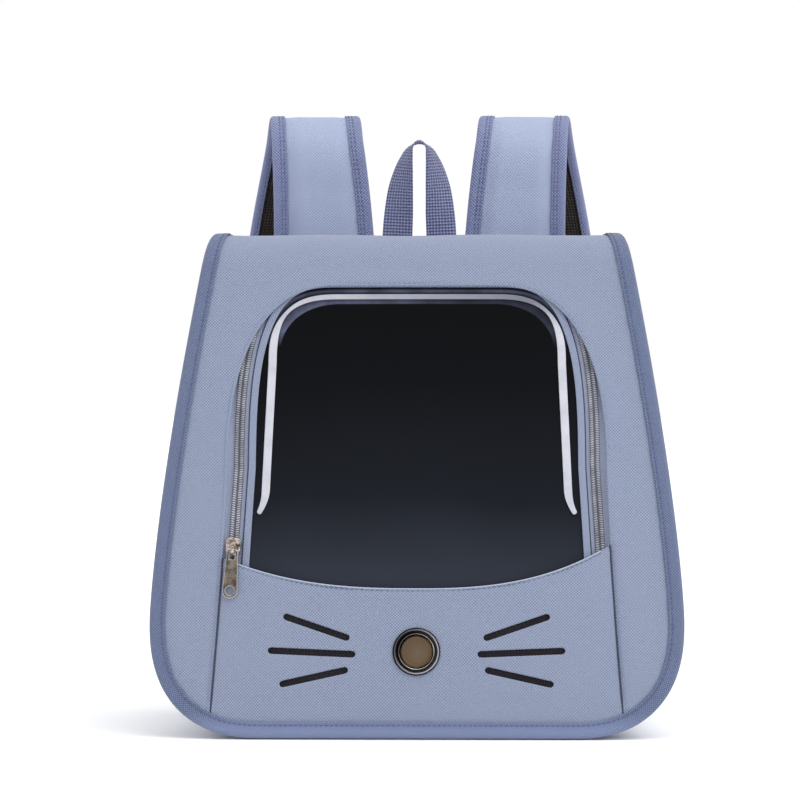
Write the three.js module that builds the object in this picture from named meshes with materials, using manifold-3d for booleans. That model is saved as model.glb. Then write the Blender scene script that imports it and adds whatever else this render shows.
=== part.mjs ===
// Pet carrier backpack, in millimetres, +Z up, front towards -Y, base on z = 0.
// The front cloth is worked out flat, as x across and s up along the panel, and then laid on
// the bag: up the leaning front, round the top fold and back over the top.
import * as THREE from 'three';
import { mergeVertices } from 'three/addons/utils/BufferGeometryUtils.js';
import Module from 'manifold-3d';

const wasm = await Module();
wasm.setup();

// Body
const HEIGHT = 388;
const BASE_DEPTH = 220;
const TOP_SETBACK = 70;
const FOLD_RADIUS = 30;
const CROWN = 10;
const FRONT_Y = -BASE_DEPTH / 2;
const BACK_Y = BASE_DEPTH / 2 - 2;

// Outline of the front, over the binding
const FLAT_HALF = 118;
const WIDEST_HALF = 205;
const CORNER_RISE = 91;
const CORNER_POWER = 2.4;
const SIDE_TAPER = 36;
const TAPER_POWER = 1.4;
const TOP_TAPER = 0.04;
const BACK_NARROWING = 0.96;
const BACK_SHOULDER = 345;
const BACK_HIGHEST = 384;
const BACK_SHOULDER_SLOPE = 0.18;
const CORNER_LEVELS = [1.5, 5, 11, 19, 30, 46, 66];

// Cloth
const CLOTH = 2;
const GUSSET_CLOTH = 1.5;
const SEAM_GAP = 0.4;
const EDGE_INSET = 3;
const FLANGE_INSET = 3.2;
const BINDING_WIDTH = 12;
const BINDING_CLOTH = 1.3;
const BINDING_BACK_WIDTH = 7.5;
const GUSSET_INSET = 9.6;
const SIDE_PULL_IN = -5;
const CORNER_BLEND = 70;
const GUSSET_TOP_GAP = 9;
const GUSSET_ENDS = 1;
const WALL_STATIONS = [0.1, 0.37, 0.63, 0.9];

// Window arch of the frame panel, and its legs
const ARCH_HALF = 146;
const ARCH_FLAT = 60;
const ARCH_START = 208;
const ARCH_TOP = 352;
const ARCH_POWER = 2.4;
const LEG_FLARE = 12.8;
const LEG_POWER = 1.3;

// Zip arch, along the middle of the chain
const ZIP_ARCH = { half: 137.5, start: ARCH_START, top: 364.5, power: 3, slope: 0.0556 };
const ZIP_BOTTOM = 116;
const HEM_GAP = 0.7;
const TAPE_CLOTH = 1;
const TAPE_OUT = 14;
const TAPE_STEP_FROM = 9;
const TAPE_STEP_TO = 6;
const TAPE_IN = 8;
const CHAIN_HALF = 3.2;
const CHAIN_RIDGE_HALF = 1.6;
const BORDER_FROM = 7.5;
const BORDER_TO = 13;
const FILM_FROM = 8.6;
const FILM_BOTTOM = 101;
const STRIP_ARCH = { half: 112.5, start: 290, top: 343.8, power: 2.8, slope: 0.04 };
const STRIP_WIDTHS = { side: 6.4, corner: 3, top: 4.2 };
const STRIP_BOTTOM = 172;
const STRIP_END = 18;
const STRIP_FLARE = 4.8;
const STRIP_CLOTH = 1;

// Lower panel: the sag of its top edge, whisker cuts and eyelet
const SAG_LOW = 113.6;
const SAG_RISE_LEFT = 24;
const SAG_RISE_RIGHT = 34;
const SAG_POWER = 2.6;
const SAG_REACH = 1.1;
const WHISKER_WIDTH = 5;
const WHISKERS = [
  { innerX: 53.4, innerS: 76.3, outerX: 99.6, outerS: 92.2 },
  { innerX: 48.9, innerS: 63.7, outerX: 111.2, outerS: 66.5 },
  { innerX: 54.5, innerS: 51.6, outerX: 102.2, outerS: 41.1 },
];
const WHISKER_MESH = { fromX: 42, toX: 119, fromS: 33, toS: 100, cloth: 1 };
const EYELET = { s: 65.5, radius: 18.2, bead: 17, washer: 16.5, groove: 15.4, hole: 14.3, crest: 14.1,
  rim: 13.7, bore: 12.9, plate: 12.4, plateFace: 11.6 };
const EYELET_OUT = { back: -3.4, washer: -2.4, plateBack: -1, seat: 0.3, plateEdge: 0.5, plateFace: 0.9,
  edge: 1.3, groove: 1.6, lip: 1.9, bead: 2.1, crest: 2.5 };

// Slider and pull, in their own frame: x across, y up along the zip, z out from the panel
const SLIDER_S = 146.3;
const SLIDER = { half: 5.5, top: 6.8, bottom: -6.8, neck: 3.6, taper: 4, corner: 2, back: -2.1, front: 0.2 };
const FLANGE = { from: 3.7, low: -3.3, high: 4.3, root: 0.5 };
const BAIL = { half: 1.2, low: -1.3, high: 3, out: 3, wire: 1.4, corner: 0.6, root: 0.6, pivotY: -3.4 };
const PULL = { pivotOut: 1.8, thick: 1.6, bar: 0.8, eyeEnd: 7, eyeHalf: 2.2, topHalf: 4.1, corner: 1.4,
  endHalf: 5.8, holeY: -31, holeRadius: 3.6 };

// Shoulder strap, right side: middle line and half width from the top seam round to the lower end
const STRAP_ROUTE = [
  { x: 79.5, y: 113.4, z: 352, half: 42.3 },
  { x: 79.8, y: 113.4, z: 386, half: 42.3 },
  { x: 82, y: 115, z: 430, half: 40.5 },
  { x: 85.6, y: 118, z: 474, half: 38.4 },
  { x: 88.6, y: 135, z: 495, half: 38 },
  { x: 93.6, y: 152, z: 473, half: 37.5 },
  { x: 108.5, y: 160, z: 400, half: 36.5 },
  { x: 123, y: 163, z: 300, half: 36 },
  { x: 133, y: 152, z: 200, half: 33 },
  { x: 137, y: 143, z: 158, half: 28 },
];
const STRAP_STOPS = { foldFrom: 0.22, foldTo: 0.38, rise: 4, fold: 9, fall: 9 };
const STRAP = { edgeHalf: 1.2, crown: 5, crownFrom: 14, crownTo: 24, mesh: 1, meshGap: 0.6, inset: 1.7 };
const ADJUSTER = { half: 18, high: 12, bar: 3.3, thick: 4, slotHalf: 13.8, midHalf: 1.5, corner: 3 };
const WEBBING = { half: 12.5, thick: 1.6 };
const STRAP_ANCHOR = { x: 152, z: 46, sewn: 20, lift: 2 };
const WEBBING_WEAVE = [
  { up: -30, out: -3.2 },
  { up: -13, out: -3.5 },
  { up: -8.2, out: -3.3 },
  { up: -5, out: 0 },
  { up: -2.4, out: 3.2 },
  { up: 0, out: 4 },
  { up: 2.6, out: 3.1 },
  { up: 5, out: 0.2 },
];

// Grab handle, right leg: middle line and twist of the webbing from face-on to edge-on
const HANDLE_ROUTE = [
  { x: 18.5, z: 352, twist: 0 },
  { x: 18.5, z: 390, twist: 0 },
  { x: 17.4, z: 412, twist: 14 },
  { x: 15.4, z: 436, twist: 36 },
  { x: 11, z: 459, twist: 64 },
  { x: 7, z: 469, twist: 80 },
  { x: 0, z: 473, twist: 90 },
];

// How finely each form is divided
const STEPS = { side: 5, fold: 6, top: 2, frameAcross: 10, leg: 5, arch: 10, openingAcross: 8, lowerUp: 3,
  lowerAcross: 12, meshUp: 2, meshAcross: 3, round: 16, zipLeg: 3, zipArch: 9, stripLeg: 2, stripArch: 7,
  filmAcross: 6, backAcross: 2, webbingFree: 5, webbingWoven: 12, handle: 22, whiskerEnd: 3, metalCurve: 6,
  tagCurve: 8, adjusterCurve: 2 };

// Colours and finishes
const FINISH = {
  cloth: { color: 0x929eb8, roughness: 0.85, metalness: 0 },
  binding: { color: 0x7784a6, roughness: 0.8, metalness: 0 },
  webbing: { color: 0x696e90, roughness: 0.8, metalness: 0 },
  mesh: { color: 0x24212a, roughness: 0.9, metalness: 0 },
  film: { color: 0x1c1e24, roughness: 0.12, metalness: 0 },
  strip: { color: 0xd4d6e3, roughness: 0.35, metalness: 0 },
  tape: { color: 0x9fa2b0, roughness: 0.8, metalness: 0 },
  chain: { color: 0x70747f, roughness: 0.45, metalness: 0 },
  nickel: { color: 0xb0a6a5, roughness: 0.3, metalness: 1 },
  gunmetal: { color: 0x2a2a2e, roughness: 0.25, metalness: 1 },
  bronze: { color: 0x6e5e4e, roughness: 0.35, metalness: 1 },
  plastic: { color: 0x4a4f66, roughness: 0.5, metalness: 0 },
};

const lerp = THREE.MathUtils.lerp;
const clamp = THREE.MathUtils.clamp;
const LEAN = Math.atan2(TOP_SETBACK, HEIGHT);
const FOLD_START = (HEIGHT - FOLD_RADIUS * (1 - Math.sin(LEAN))) / Math.cos(LEAN);
const FOLD_END = FOLD_START + FOLD_RADIUS * (Math.PI / 2 - LEAN);
const FOLD_Y = FRONT_Y + FOLD_START * Math.sin(LEAN) + FOLD_RADIUS * Math.cos(LEAN);
const TOP_END = FOLD_END + BACK_Y - CLOTH - SEAM_GAP - FOLD_Y;
const TAPE_FRONT = -4.6;
const DEPTH = {
  tapeFront: TAPE_FRONT,
  tapeBack: TAPE_FRONT - TAPE_CLOTH,
  onTape: TAPE_FRONT + SEAM_GAP,
  hemFront: -CLOTH - HEM_GAP,
  hemBack: -CLOTH - HEM_GAP - TAPE_CLOTH,
  chainSide: -3.5,
  chainRidge: -2.8,
  border: -3,
  flangeFront: -CLOTH - SEAM_GAP,
  flangeBack: -CLOTH - SEAM_GAP - GUSSET_CLOTH,
};
const CUT = { front: 4, back: -CLOTH - 4, below: -20 };
const pack = new THREE.Group();

// Rounded corner that grows from 0 to 1 as t goes from 0 to 1
function superCurve(t, power) {
  return (1 - (1 - t) ** power) ** (1 / power);
}

function outlineHalf(s) {
  if (s < CORNER_RISE) {
    return FLAT_HALF + (WIDEST_HALF - FLAT_HALF) * superCurve(Math.max(s, 0) / CORNER_RISE, CORNER_POWER);
  }
  const side = Math.min(s, FOLD_END);
  const taper = SIDE_TAPER * ((side - CORNER_RISE) / (FOLD_START - CORNER_RISE)) ** TAPER_POWER;
  return WIDEST_HALF - taper - TOP_TAPER * Math.max(s - FOLD_END, 0);
}

// Height of the outline's lower edge at a given x
function outlineBottom(x) {
  const t = Math.max(Math.abs(x) - FLAT_HALF, 0) / (WIDEST_HALF - FLAT_HALF);
  return CORNER_RISE * (1 - (1 - t ** CORNER_POWER) ** (1 / CORNER_POWER));
}

function frameEdgeHalf(s) {
  if (s < ARCH_START) {
    return ARCH_HALF + LEG_FLARE * ((ARCH_START - s) / ARCH_START) ** LEG_POWER;
  }
  const t = 1 - (s - ARCH_START) / (ARCH_TOP - ARCH_START);
  return ARCH_FLAT + (ARCH_HALF - ARCH_FLAT) * superCurve(clamp(t, 0, 1), ARCH_POWER);
}

function sagHeight(x) {
  const rise = x < 0 ? SAG_RISE_LEFT : SAG_RISE_RIGHT;
  return SAG_LOW + rise * Math.min(Math.abs(x) / ARCH_HALF, SAG_REACH) ** SAG_POWER;
}

// A point of the front cloth: x across, s up along the panel, depth out from its face
function panelPoint(x, s, depth) {
  const turn = clamp((s - FOLD_START) / FOLD_RADIUS, 0, Math.PI / 2 - LEAN);
  const angle = LEAN + turn;
  const outY = -Math.cos(angle);
  const outZ = Math.sin(angle);
  const straight = Math.min(s, FOLD_START);
  const over = Math.max(s - FOLD_END, 0);
  const startY = FRONT_Y + straight * Math.sin(LEAN) + FOLD_RADIUS * Math.cos(LEAN);
  const startZ = straight * Math.cos(LEAN) - FOLD_RADIUS * Math.sin(LEAN);
  const t = clamp(s / FOLD_START, 0, 1);
  const across = Math.max(1 - (x / outlineHalf(s)) ** 2, 0);
  const out = FOLD_RADIUS + depth + CROWN * across * 4 * t * (1 - t);
  return new THREE.Vector3(x, startY + outY * out + over, startZ + outZ * out);
}

function backPoint(x, z, depth) {
  return new THREE.Vector3(x, BACK_Y + depth, z);
}

// Turns a geometry's faces outwards and keeps only its positions
function facingOut(geometry) {
  const clean = geometry.clone();
  for (const name of Object.keys(clean.attributes)) {
    if (name !== 'position') clean.deleteAttribute(name);
  }
  const merged = mergeVertices(clean, 1e-4);
  const place = merged.attributes.position;
  const index = merged.index.array;
  const corner = [new THREE.Vector3(), new THREE.Vector3(), new THREE.Vector3()];
  let volume = 0;
  for (let i = 0; i < index.length; i += 3) {
    corner.forEach((c, k) => c.fromBufferAttribute(place, index[i + k]));
    volume += corner[0].dot(corner[1].cross(corner[2]));
  }
  if (volume < 0) {
    for (let i = 0; i < index.length; i += 3) {
      [index[i], index[i + 1]] = [index[i + 1], index[i]];
    }
  }
  return merged;
}

// A closed sheet between two grids of points, outer(row, column) and inner(row, column)
function thickSheet(rows, columns, outer, inner) {
  const points = [];
  const index = [];
  for (const side of [outer, inner]) {
    for (let i = 0; i <= rows; i++) {
      for (let k = 0; k <= columns; k++) points.push(side(i, k));
    }
  }
  const at = (side, i, k) => side * (rows + 1) * (columns + 1) + i * (columns + 1) + k;
  const quad = (a, b, c, d) => index.push(a, b, c, a, c, d);
  for (let i = 0; i < rows; i++) {
    for (let k = 0; k < columns; k++) {
      quad(at(0, i, k), at(0, i + 1, k), at(0, i + 1, k + 1), at(0, i, k + 1));
      quad(at(1, i, k), at(1, i, k + 1), at(1, i + 1, k + 1), at(1, i + 1, k));
    }
    quad(at(0, i, 0), at(1, i, 0), at(1, i + 1, 0), at(0, i + 1, 0));
    quad(at(0, i, columns), at(0, i + 1, columns), at(1, i + 1, columns), at(1, i, columns));
  }
  for (let k = 0; k < columns; k++) {
    quad(at(0, 0, k), at(0, 0, k + 1), at(1, 0, k + 1), at(1, 0, k));
    quad(at(0, rows, k), at(1, rows, k), at(1, rows, k + 1), at(0, rows, k + 1));
  }
  const geometry = new THREE.BufferGeometry().setFromPoints(points);
  geometry.setIndex(index);
  return facingOut(geometry);
}

function solid(geometry) {
  const closed = facingOut(geometry);
  const mesh = new wasm.Mesh({
    numProp: 3,
    vertProperties: new Float32Array(closed.attributes.position.array),
    triVerts: new Uint32Array(closed.index.array),
  });
  return new wasm.Manifold(mesh);
}

function geometryOf(body) {
  const mesh = body.getMesh();
  const geometry = new THREE.BufferGeometry();
  geometry.setAttribute('position', new THREE.BufferAttribute(new Float32Array(mesh.vertProperties), 3));
  geometry.setIndex(new THREE.BufferAttribute(new Uint32Array(mesh.triVerts), 1));
  return geometry;
}

function addPiece(name, finish, geometry) {
  const mesh = new THREE.Mesh(geometry, new THREE.MeshStandardMaterial(FINISH[finish]));
  mesh.name = name;
  pack.add(mesh);
}

// Bends a flat geometry (x across, y up the panel, z out) onto the front
function ontoPanel(geometry) {
  const place = geometry.attributes.position;
  for (let i = 0; i < place.count; i++) {
    const p = panelPoint(place.getX(i), place.getY(i), place.getZ(i));
    place.setXYZ(i, p.x, p.y, p.z);
  }
  return geometry;
}

// Rigid frame on the front at (x, s), turned by spin in the panel
function panelFrame(x, s, spin) {
  const across = panelPoint(x + 1, s, 0).sub(panelPoint(x - 1, s, 0)).normalize();
  const up = panelPoint(x, s + 1, 0).sub(panelPoint(x, s - 1, 0)).normalize();
  const out = across.clone().cross(up).normalize();
  up.crossVectors(out, across);
  const frame = new THREE.Matrix4().makeBasis(across, up, out);
  frame.multiply(new THREE.Matrix4().makeRotationZ(spin));
  return frame.setPosition(panelPoint(x, s, 0));
}

// Unit normals on the left of a flat path
function pathNormals(path) {
  return path.map((p, i) => {
    const before = path[Math.max(i - 1, 0)];
    const after = path[Math.min(i + 1, path.length - 1)];
    const along = after.clone().sub(before).normalize();
    return new THREE.Vector2(-along.y, along.x);
  });
}

function spread(from, to, steps) {
  return Array.from({ length: steps + 1 }, (_, i) => lerp(from, to, i / steps));
}

function mirroredPath(half) {
  const left = half.slice(1).reverse().map((p) => new THREE.Vector2(-p.x, p.y));
  return [...left, ...half];
}

// Outline of the front as a path from the back left end, down, along the bottom and up again
const outlineLevels = [
  ...CORNER_LEVELS,
  ...spread(CORNER_RISE, FOLD_START, STEPS.side),
  ...spread(FOLD_START, FOLD_END, STEPS.fold).slice(1),
  ...spread(FOLD_END, TOP_END - GUSSET_TOP_GAP, STEPS.top).slice(1),
  TOP_END,
];
const outlineHalfPath = [
  new THREE.Vector2(0, 0),
  new THREE.Vector2(FLAT_HALF, 0),
  ...outlineLevels.map((s) => new THREE.Vector2(outlineHalf(s), s)),
];
const BASE_POINTS = 2;
const outline = mirroredPath(outlineHalfPath);
const outlineIn = pathNormals(outline);

// The back outline pairs a point with each point of the front outline
function backLevel(s) {
  if (s < FOLD_START) return (s * BACK_SHOULDER) / FOLD_START;
  return lerp(BACK_SHOULDER, BACK_HIGHEST, (s - FOLD_START) / (TOP_END - FOLD_START));
}
function backHalf(z) {
  const over = Math.max(z - BACK_SHOULDER, 0);
  const level = (Math.min(z, BACK_SHOULDER) * FOLD_START) / BACK_SHOULDER;
  return BACK_NARROWING * outlineHalf(level) - BACK_SHOULDER_SLOPE * over;
}
const backOutline = outline.map((p) => {
  const z = backLevel(p.y);
  return new THREE.Vector2(z > 0 ? Math.sign(p.x) * backHalf(z) : p.x * BACK_NARROWING, z);
});
const backIn = pathNormals(backOutline);

function inset(path, normals, i, amount) {
  return path[i].clone().addScaledVector(normals[i], amount);
}

// Rows of a panel that fills an outline: half width and height, from the bottom up
function panelRows(path, normals) {
  const first = (path.length - 1) / 2 + BASE_POINTS - 1;
  const rows = [];
  for (let i = first; i < path.length; i++) rows.push(inset(path, normals, i, EDGE_INSET));
  return rows;
}

function filledPanel(rows, columns, place, front, back) {
  const point = (depth) => (i, k) => place(lerp(-rows[i].x, rows[i].x, k / columns), rows[i].y, depth);
  return thickSheet(rows.length - 1, columns, point(front), point(back));
}

// Levels of an arch above its start, closer together towards the top
function archLevels(start, top, steps) {
  return spread(0, 1, steps).slice(1).map((t) => lerp(start, top, Math.sin((t * Math.PI) / 2)));
}

function extruded(shape, depth, curveSegments) {
  return new THREE.ExtrudeGeometry(shape, { depth, bevelEnabled: false, curveSegments });
}

// Frame panel: the whole front and top, less the window and the lower panel
function framePanel() {
  const whole = filledPanel(panelRows(outline, outlineIn), STEPS.frameAcross, panelPoint, 0, -CLOTH);
  const levels = [
    CUT.below,
    ...spread(0, ARCH_START, STEPS.leg),
    ...archLevels(ARCH_START, ARCH_TOP, STEPS.arch),
  ];
  const rows = levels.map((s) => new THREE.Vector2(frameEdgeHalf(s), s));
  const opening = filledPanel(rows, STEPS.openingAcross, panelPoint, CUT.front, CUT.back);
  return geometryOf(solid(whole).subtract(solid(opening)));
}

function whiskerCut(row, side) {
  const from = new THREE.Vector2(side * row.innerX, row.innerS);
  const to = new THREE.Vector2(side * row.outerX, row.outerS);
  const along = Math.atan2(to.y - from.y, to.x - from.x);
  const shape = new THREE.Shape();
  shape.absarc(from.x, from.y, WHISKER_WIDTH / 2, along + Math.PI / 2, along + (3 * Math.PI) / 2);
  shape.absarc(to.x, to.y, WHISKER_WIDTH / 2, along - Math.PI / 2, along + Math.PI / 2);
  const cut = extruded(shape, CUT.front - CUT.back, STEPS.whiskerEnd);
  return solid(ontoPanel(cut.translate(0, 0, CUT.back)));
}

// Round piece turned about the panel's outward direction at the eyelet
function turned(profile) {
  const points = profile.map(([radius, out]) => new THREE.Vector2(radius, out));
  const lathe = new THREE.LatheGeometry(points, STEPS.round).rotateX(Math.PI / 2);
  return ontoPanel(lathe.translate(0, EYELET.s, 0));
}

function lowerPanel() {
  const point = (depth) => (i, k) => {
    const u = lerp(-1, 1, k / STEPS.lowerAcross);
    const low = outlineBottom(u * frameEdgeHalf(0)) + EDGE_INSET;
    const s = lerp(low, sagHeight(u * ARCH_HALF), i / STEPS.lowerUp);
    return panelPoint(u * (frameEdgeHalf(s) - SEAM_GAP), s, depth);
  };
  let panel = solid(thickSheet(STEPS.lowerUp, STEPS.lowerAcross, point(0), point(-CLOTH)));
  for (const side of [-1, 1]) {
    for (const row of WHISKERS) panel = panel.subtract(whiskerCut(row, side));
  }
  const { hole: radius } = EYELET;
  const hole = turned([[0, CUT.back], [radius, CUT.back], [radius, CUT.front], [0, CUT.front]]);
  return geometryOf(panel.subtract(solid(hole)));
}

function whiskerMesh(side) {
  const { fromX, toX, fromS, toS, cloth } = WHISKER_MESH;
  const { meshAcross, meshUp } = STEPS;
  const front = -CLOTH - SEAM_GAP;
  const point = (depth) => (i, k) => (
    panelPoint(side * lerp(fromX, toX, i / meshAcross), lerp(fromS, toS, k / meshUp), depth)
  );
  return thickSheet(meshAcross, meshUp, point(front), point(front - cloth));
}

function eyeletRing() {
  const { radius, bead, washer, groove, crest, rim, bore } = EYELET;
  const out = EYELET_OUT;
  return turned([
    [bore, out.back], [washer, out.back], [washer, out.washer], [rim, out.washer],
    [rim, out.seat], [radius, out.seat], [radius, out.edge], [bead, out.bead],
    [groove, out.groove], [crest, out.crest], [bore, out.lip], [bore, out.back],
  ]);
}

function eyeletPlate() {
  const { plate, plateFace } = EYELET;
  const out = EYELET_OUT;
  return turned([
    [0, out.plateBack], [plate, out.plateBack], [plate, out.plateEdge],
    [plateFace, out.plateFace], [0, out.plateFace],
  ]);
}

// A folded tape over the raw edge of a panel and of the gusset's flange behind it
function edgeBinding(path, normals, place, skipped = 0) {
  const high = SEAM_GAP;
  const low = DEPTH.flangeBack - SEAM_GAP;
  const section = [
    { outer: [BINDING_WIDTH, high + BINDING_CLOTH], inner: [BINDING_WIDTH, high] },
    { outer: [0, high + BINDING_CLOTH], inner: [BINDING_CLOTH, high] },
    { outer: [0, low - BINDING_CLOTH], inner: [BINDING_CLOTH, low] },
    { outer: [BINDING_BACK_WIDTH, low - BINDING_CLOTH], inner: [BINDING_BACK_WIDTH, low] },
  ];
  const point = (side) => (i, k) => {
    const [amount, depth] = section[k][side];
    const p = inset(path, normals, i + skipped, amount);
    return place(p.x, p.y, depth);
  };
  return thickSheet(path.length - 1 - 2 * skipped, section.length - 1, point('outer'), point('inner'));
}

// Gusset between the front and back outlines, from path point `from` to `to`
function gusset(from, to, endGap) {
  const edge = { outer: GUSSET_INSET, inner: GUSSET_INSET + GUSSET_CLOTH };
  const depth = { outer: DEPTH.flangeBack, inner: DEPTH.flangeFront };
  const place = (i, side, amount, back) => {
    const path = back ? backOutline : outline;
    const p = inset(path, back ? backIn : outlineIn, i, amount);
    if (i === from) p.x += endGap;
    if (i === to) p.x -= endGap;
    return back ? backPoint(p.x, p.y, depth[side]) : panelPoint(p.x, p.y, depth[side]);
  };
  const wall = (i, side, v) => {
    const front = place(i, side, edge[side], false);
    const point = front.lerp(place(i, side, edge[side], true), v);
    const blend = clamp(outline[i].y / CORNER_BLEND, 0, 1);
    const bulge = lerp(GUSSET_INSET, SIDE_PULL_IN, blend) * Math.sin(Math.PI * v) ** blend;
    point.x -= outlineIn[i].x * bulge;
    point.z -= outlineIn[i].y * bulge;
    if (outline[i].y === 0) point.z = side === 'outer' ? 0 : GUSSET_CLOTH;
    return point;
  };
  const last = WALL_STATIONS.length + 3;
  const point = (side) => (row, k) => {
    const i = from + row;
    if (k === 0 || k === last) return place(i, side, FLANGE_INSET, k === last);
    if (k === 1 || k === last - 1) return place(i, side, edge[side], k === last - 1);
    return wall(i, side, WALL_STATIONS[k - 2]);
  };
  return thickSheet(to - from, last, point('outer'), point('inner'));
}

// Half width of an arch: straight legs that spread downwards, under a rounded top
function archedHalf(s, { half, start, top, power, slope }) {
  if (s < start) return half + slope * (start - s);
  const t = 1 - (s - start) / (top - start);
  return ARCH_FLAT + (half - ARCH_FLAT) * superCurve(clamp(t, 0, 1), power);
}

// An arch from its lower left end, over the top, to its lower right end
function archPath(arch, foot, legSteps, archSteps) {
  const levels = [...spread(foot, arch.start, legSteps), ...archLevels(arch.start, arch.top, archSteps)];
  return mirroredPath([
    new THREE.Vector2(0, arch.top),
    new THREE.Vector2(ARCH_FLAT / 2, arch.top),
    ...levels.reverse().map((s) => new THREE.Vector2(archedHalf(s, arch), s)),
  ]);
}
const zipPath = archPath(ZIP_ARCH, ZIP_BOTTOM, STEPS.zipLeg, STEPS.zipArch);
const zipOut = pathNormals(zipPath);

// A band along the zip arch; section rows give the offset from the chain and both depths
function zipBand(section) {
  const point = (side) => (i, k) => {
    const p = inset(zipPath, zipOut, i, section[k].out);
    return panelPoint(p.x, p.y, section[k][side]);
  };
  return thickSheet(zipPath.length - 1, section.length - 1, point('front'), point('back'));
}

function windowFilm() {
  const middle = (zipPath.length - 1) / 2;
  const rows = [];
  for (let i = zipPath.length - 1; i > middle + 1; i--) rows.push(inset(zipPath, zipOut, i, -FILM_FROM));
  rows[0].y = FILM_BOTTOM;
  return filledPanel(rows, STEPS.filmAcross, panelPoint, DEPTH.tapeFront, DEPTH.tapeBack);
}

// Milky strip inside the border, thinner round the corners, with its ends turned outwards
function edgeStrip() {
  const path = archPath(STRIP_ARCH, STRIP_BOTTOM + STRIP_END, STEPS.stripLeg, STEPS.stripArch);
  const endX = archedHalf(STRIP_BOTTOM, STRIP_ARCH) + STRIP_FLARE;
  path.unshift(new THREE.Vector2(-endX, STRIP_BOTTOM));
  path.push(new THREE.Vector2(endX, STRIP_BOTTOM));
  const normals = pathNormals(path);
  const { side, corner, top } = STRIP_WIDTHS;
  const back = DEPTH.onTape;
  const point = (depth) => (i, k) => {
    const { x, y } = normals[i];
    const width = lerp(lerp(top, side, x ** 2), corner, (2 * x * y) ** 2);
    const p = inset(path, normals, i, lerp(-width / 2, width / 2, k));
    return panelPoint(p.x, p.y, depth);
  };
  return thickSheet(path.length - 1, 1, point(back + STRIP_CLOTH), point(back));
}

// Slider: front plate and two flanges over the chain, with the bail that holds the pull
function sliderBody() {
  const { half, top, bottom, neck, taper, corner, back, front } = SLIDER;
  const face = new THREE.Shape();
  face.moveTo(-neck, bottom);
  face.lineTo(neck, bottom);
  face.lineTo(half, bottom + taper);
  face.lineTo(half, top - corner);
  face.lineTo(half - corner, top);
  face.lineTo(corner - half, top);
  face.lineTo(-half, top - corner);
  face.lineTo(-half, bottom + taper);
  let body = solid(extruded(face, front - back, STEPS.metalCurve).translate(0, 0, back));
  const flangeDepth = back - DEPTH.onTape + FLANGE.root;
  for (const side of [-1, 1]) {
    const wall = new THREE.BoxGeometry(half - FLANGE.from, FLANGE.high - FLANGE.low, flangeDepth);
    const middle = (FLANGE.high + FLANGE.low) / 2;
    wall.translate((side * (half + FLANGE.from)) / 2, middle, DEPTH.onTape + flangeDepth / 2);
    body = body.add(solid(wall));
  }
  const { low, high, out, wire, corner: bend } = BAIL;
  const foot = front - BAIL.root;
  const arch = new THREE.Shape();
  arch.moveTo(low - wire, foot);
  arch.lineTo(low, foot);
  arch.lineTo(low, out - bend);
  arch.lineTo(low + bend, out);
  arch.lineTo(high - bend, out);
  arch.lineTo(high, out - bend);
  arch.lineTo(high, foot);
  arch.lineTo(high + wire, foot);
  arch.lineTo(high + wire, out);
  arch.lineTo(high, out + wire);
  arch.lineTo(low, out + wire);
  arch.lineTo(low - wire, out);
  const bail = extruded(arch, 2 * BAIL.half, STEPS.metalCurve).translate(0, 0, -BAIL.half);
  const turn = new THREE.Matrix4().makeBasis(
    new THREE.Vector3(0, 1, 0),
    new THREE.Vector3(0, 0, 1),
    new THREE.Vector3(1, 0, 0),
  );
  bail.applyMatrix4(turn).translate(0, BAIL.pivotY, 0);
  return geometryOf(body.add(solid(bail)));
}

// Pull: a flat tag, with an eye that holds the bail and a round hole at its end
function pullTag() {
  const { thick, bar, eyeEnd, eyeHalf, topHalf, corner, endHalf, holeY, holeRadius, pivotOut } = PULL;
  const tag = new THREE.Shape();
  tag.moveTo(corner - topHalf, bar);
  tag.lineTo(-topHalf, bar - corner);
  tag.lineTo(-endHalf, holeY);
  tag.absarc(0, holeY, endHalf, Math.PI, 2 * Math.PI);
  tag.lineTo(topHalf, bar - corner);
  tag.lineTo(topHalf - corner, bar);
  const eye = new THREE.Path();
  eye.moveTo(-eyeHalf, -bar);
  eye.lineTo(eyeHalf, -bar);
  eye.lineTo(eyeHalf, -eyeEnd);
  eye.lineTo(-eyeHalf, -eyeEnd);
  const hole = new THREE.Path();
  hole.absarc(0, holeY, holeRadius, 0, 2 * Math.PI);
  tag.holes.push(eye, hole);
  const flat = extruded(tag, thick, STEPS.tagCurve);
  return facingOut(flat.translate(0, BAIL.pivotY, pivotOut - thick / 2));
}

// Frames along a ribbon: place, width direction and outward direction
function strapFrames(side) {
  const route = STRAP_ROUTE.map((r) => new THREE.Vector3(side * r.x, r.y, r.z));
  const curve = new THREE.CatmullRomCurve3(route);
  const count = STRAP_ROUTE.length - 1;
  const { foldFrom, foldTo, rise, fold, fall } = STRAP_STOPS;
  const stops = [
    ...spread(0, foldFrom, rise),
    ...spread(foldFrom, foldTo, fold).slice(1),
    ...spread(foldTo, 1, fall).slice(1),
  ];
  return stops.map((u) => {
    const t = curve.getUtoTmapping(u);
    const row = Math.min(Math.floor(t * count), count - 1);
    const half = lerp(STRAP_ROUTE[row].half, STRAP_ROUTE[row + 1].half, t * count - row);
    const along = curve.getTangent(t).setX(0).normalize();
    const width = new THREE.Vector3(1, 0, 0);
    const out = along.clone().cross(width).negate();
    return { place: curve.getPoint(t), width, out, along, half };
  });
}

function ribbonPoint(frame, across, depth) {
  return frame.place.clone().addScaledVector(frame.width, across).addScaledVector(frame.out, depth);
}

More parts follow.
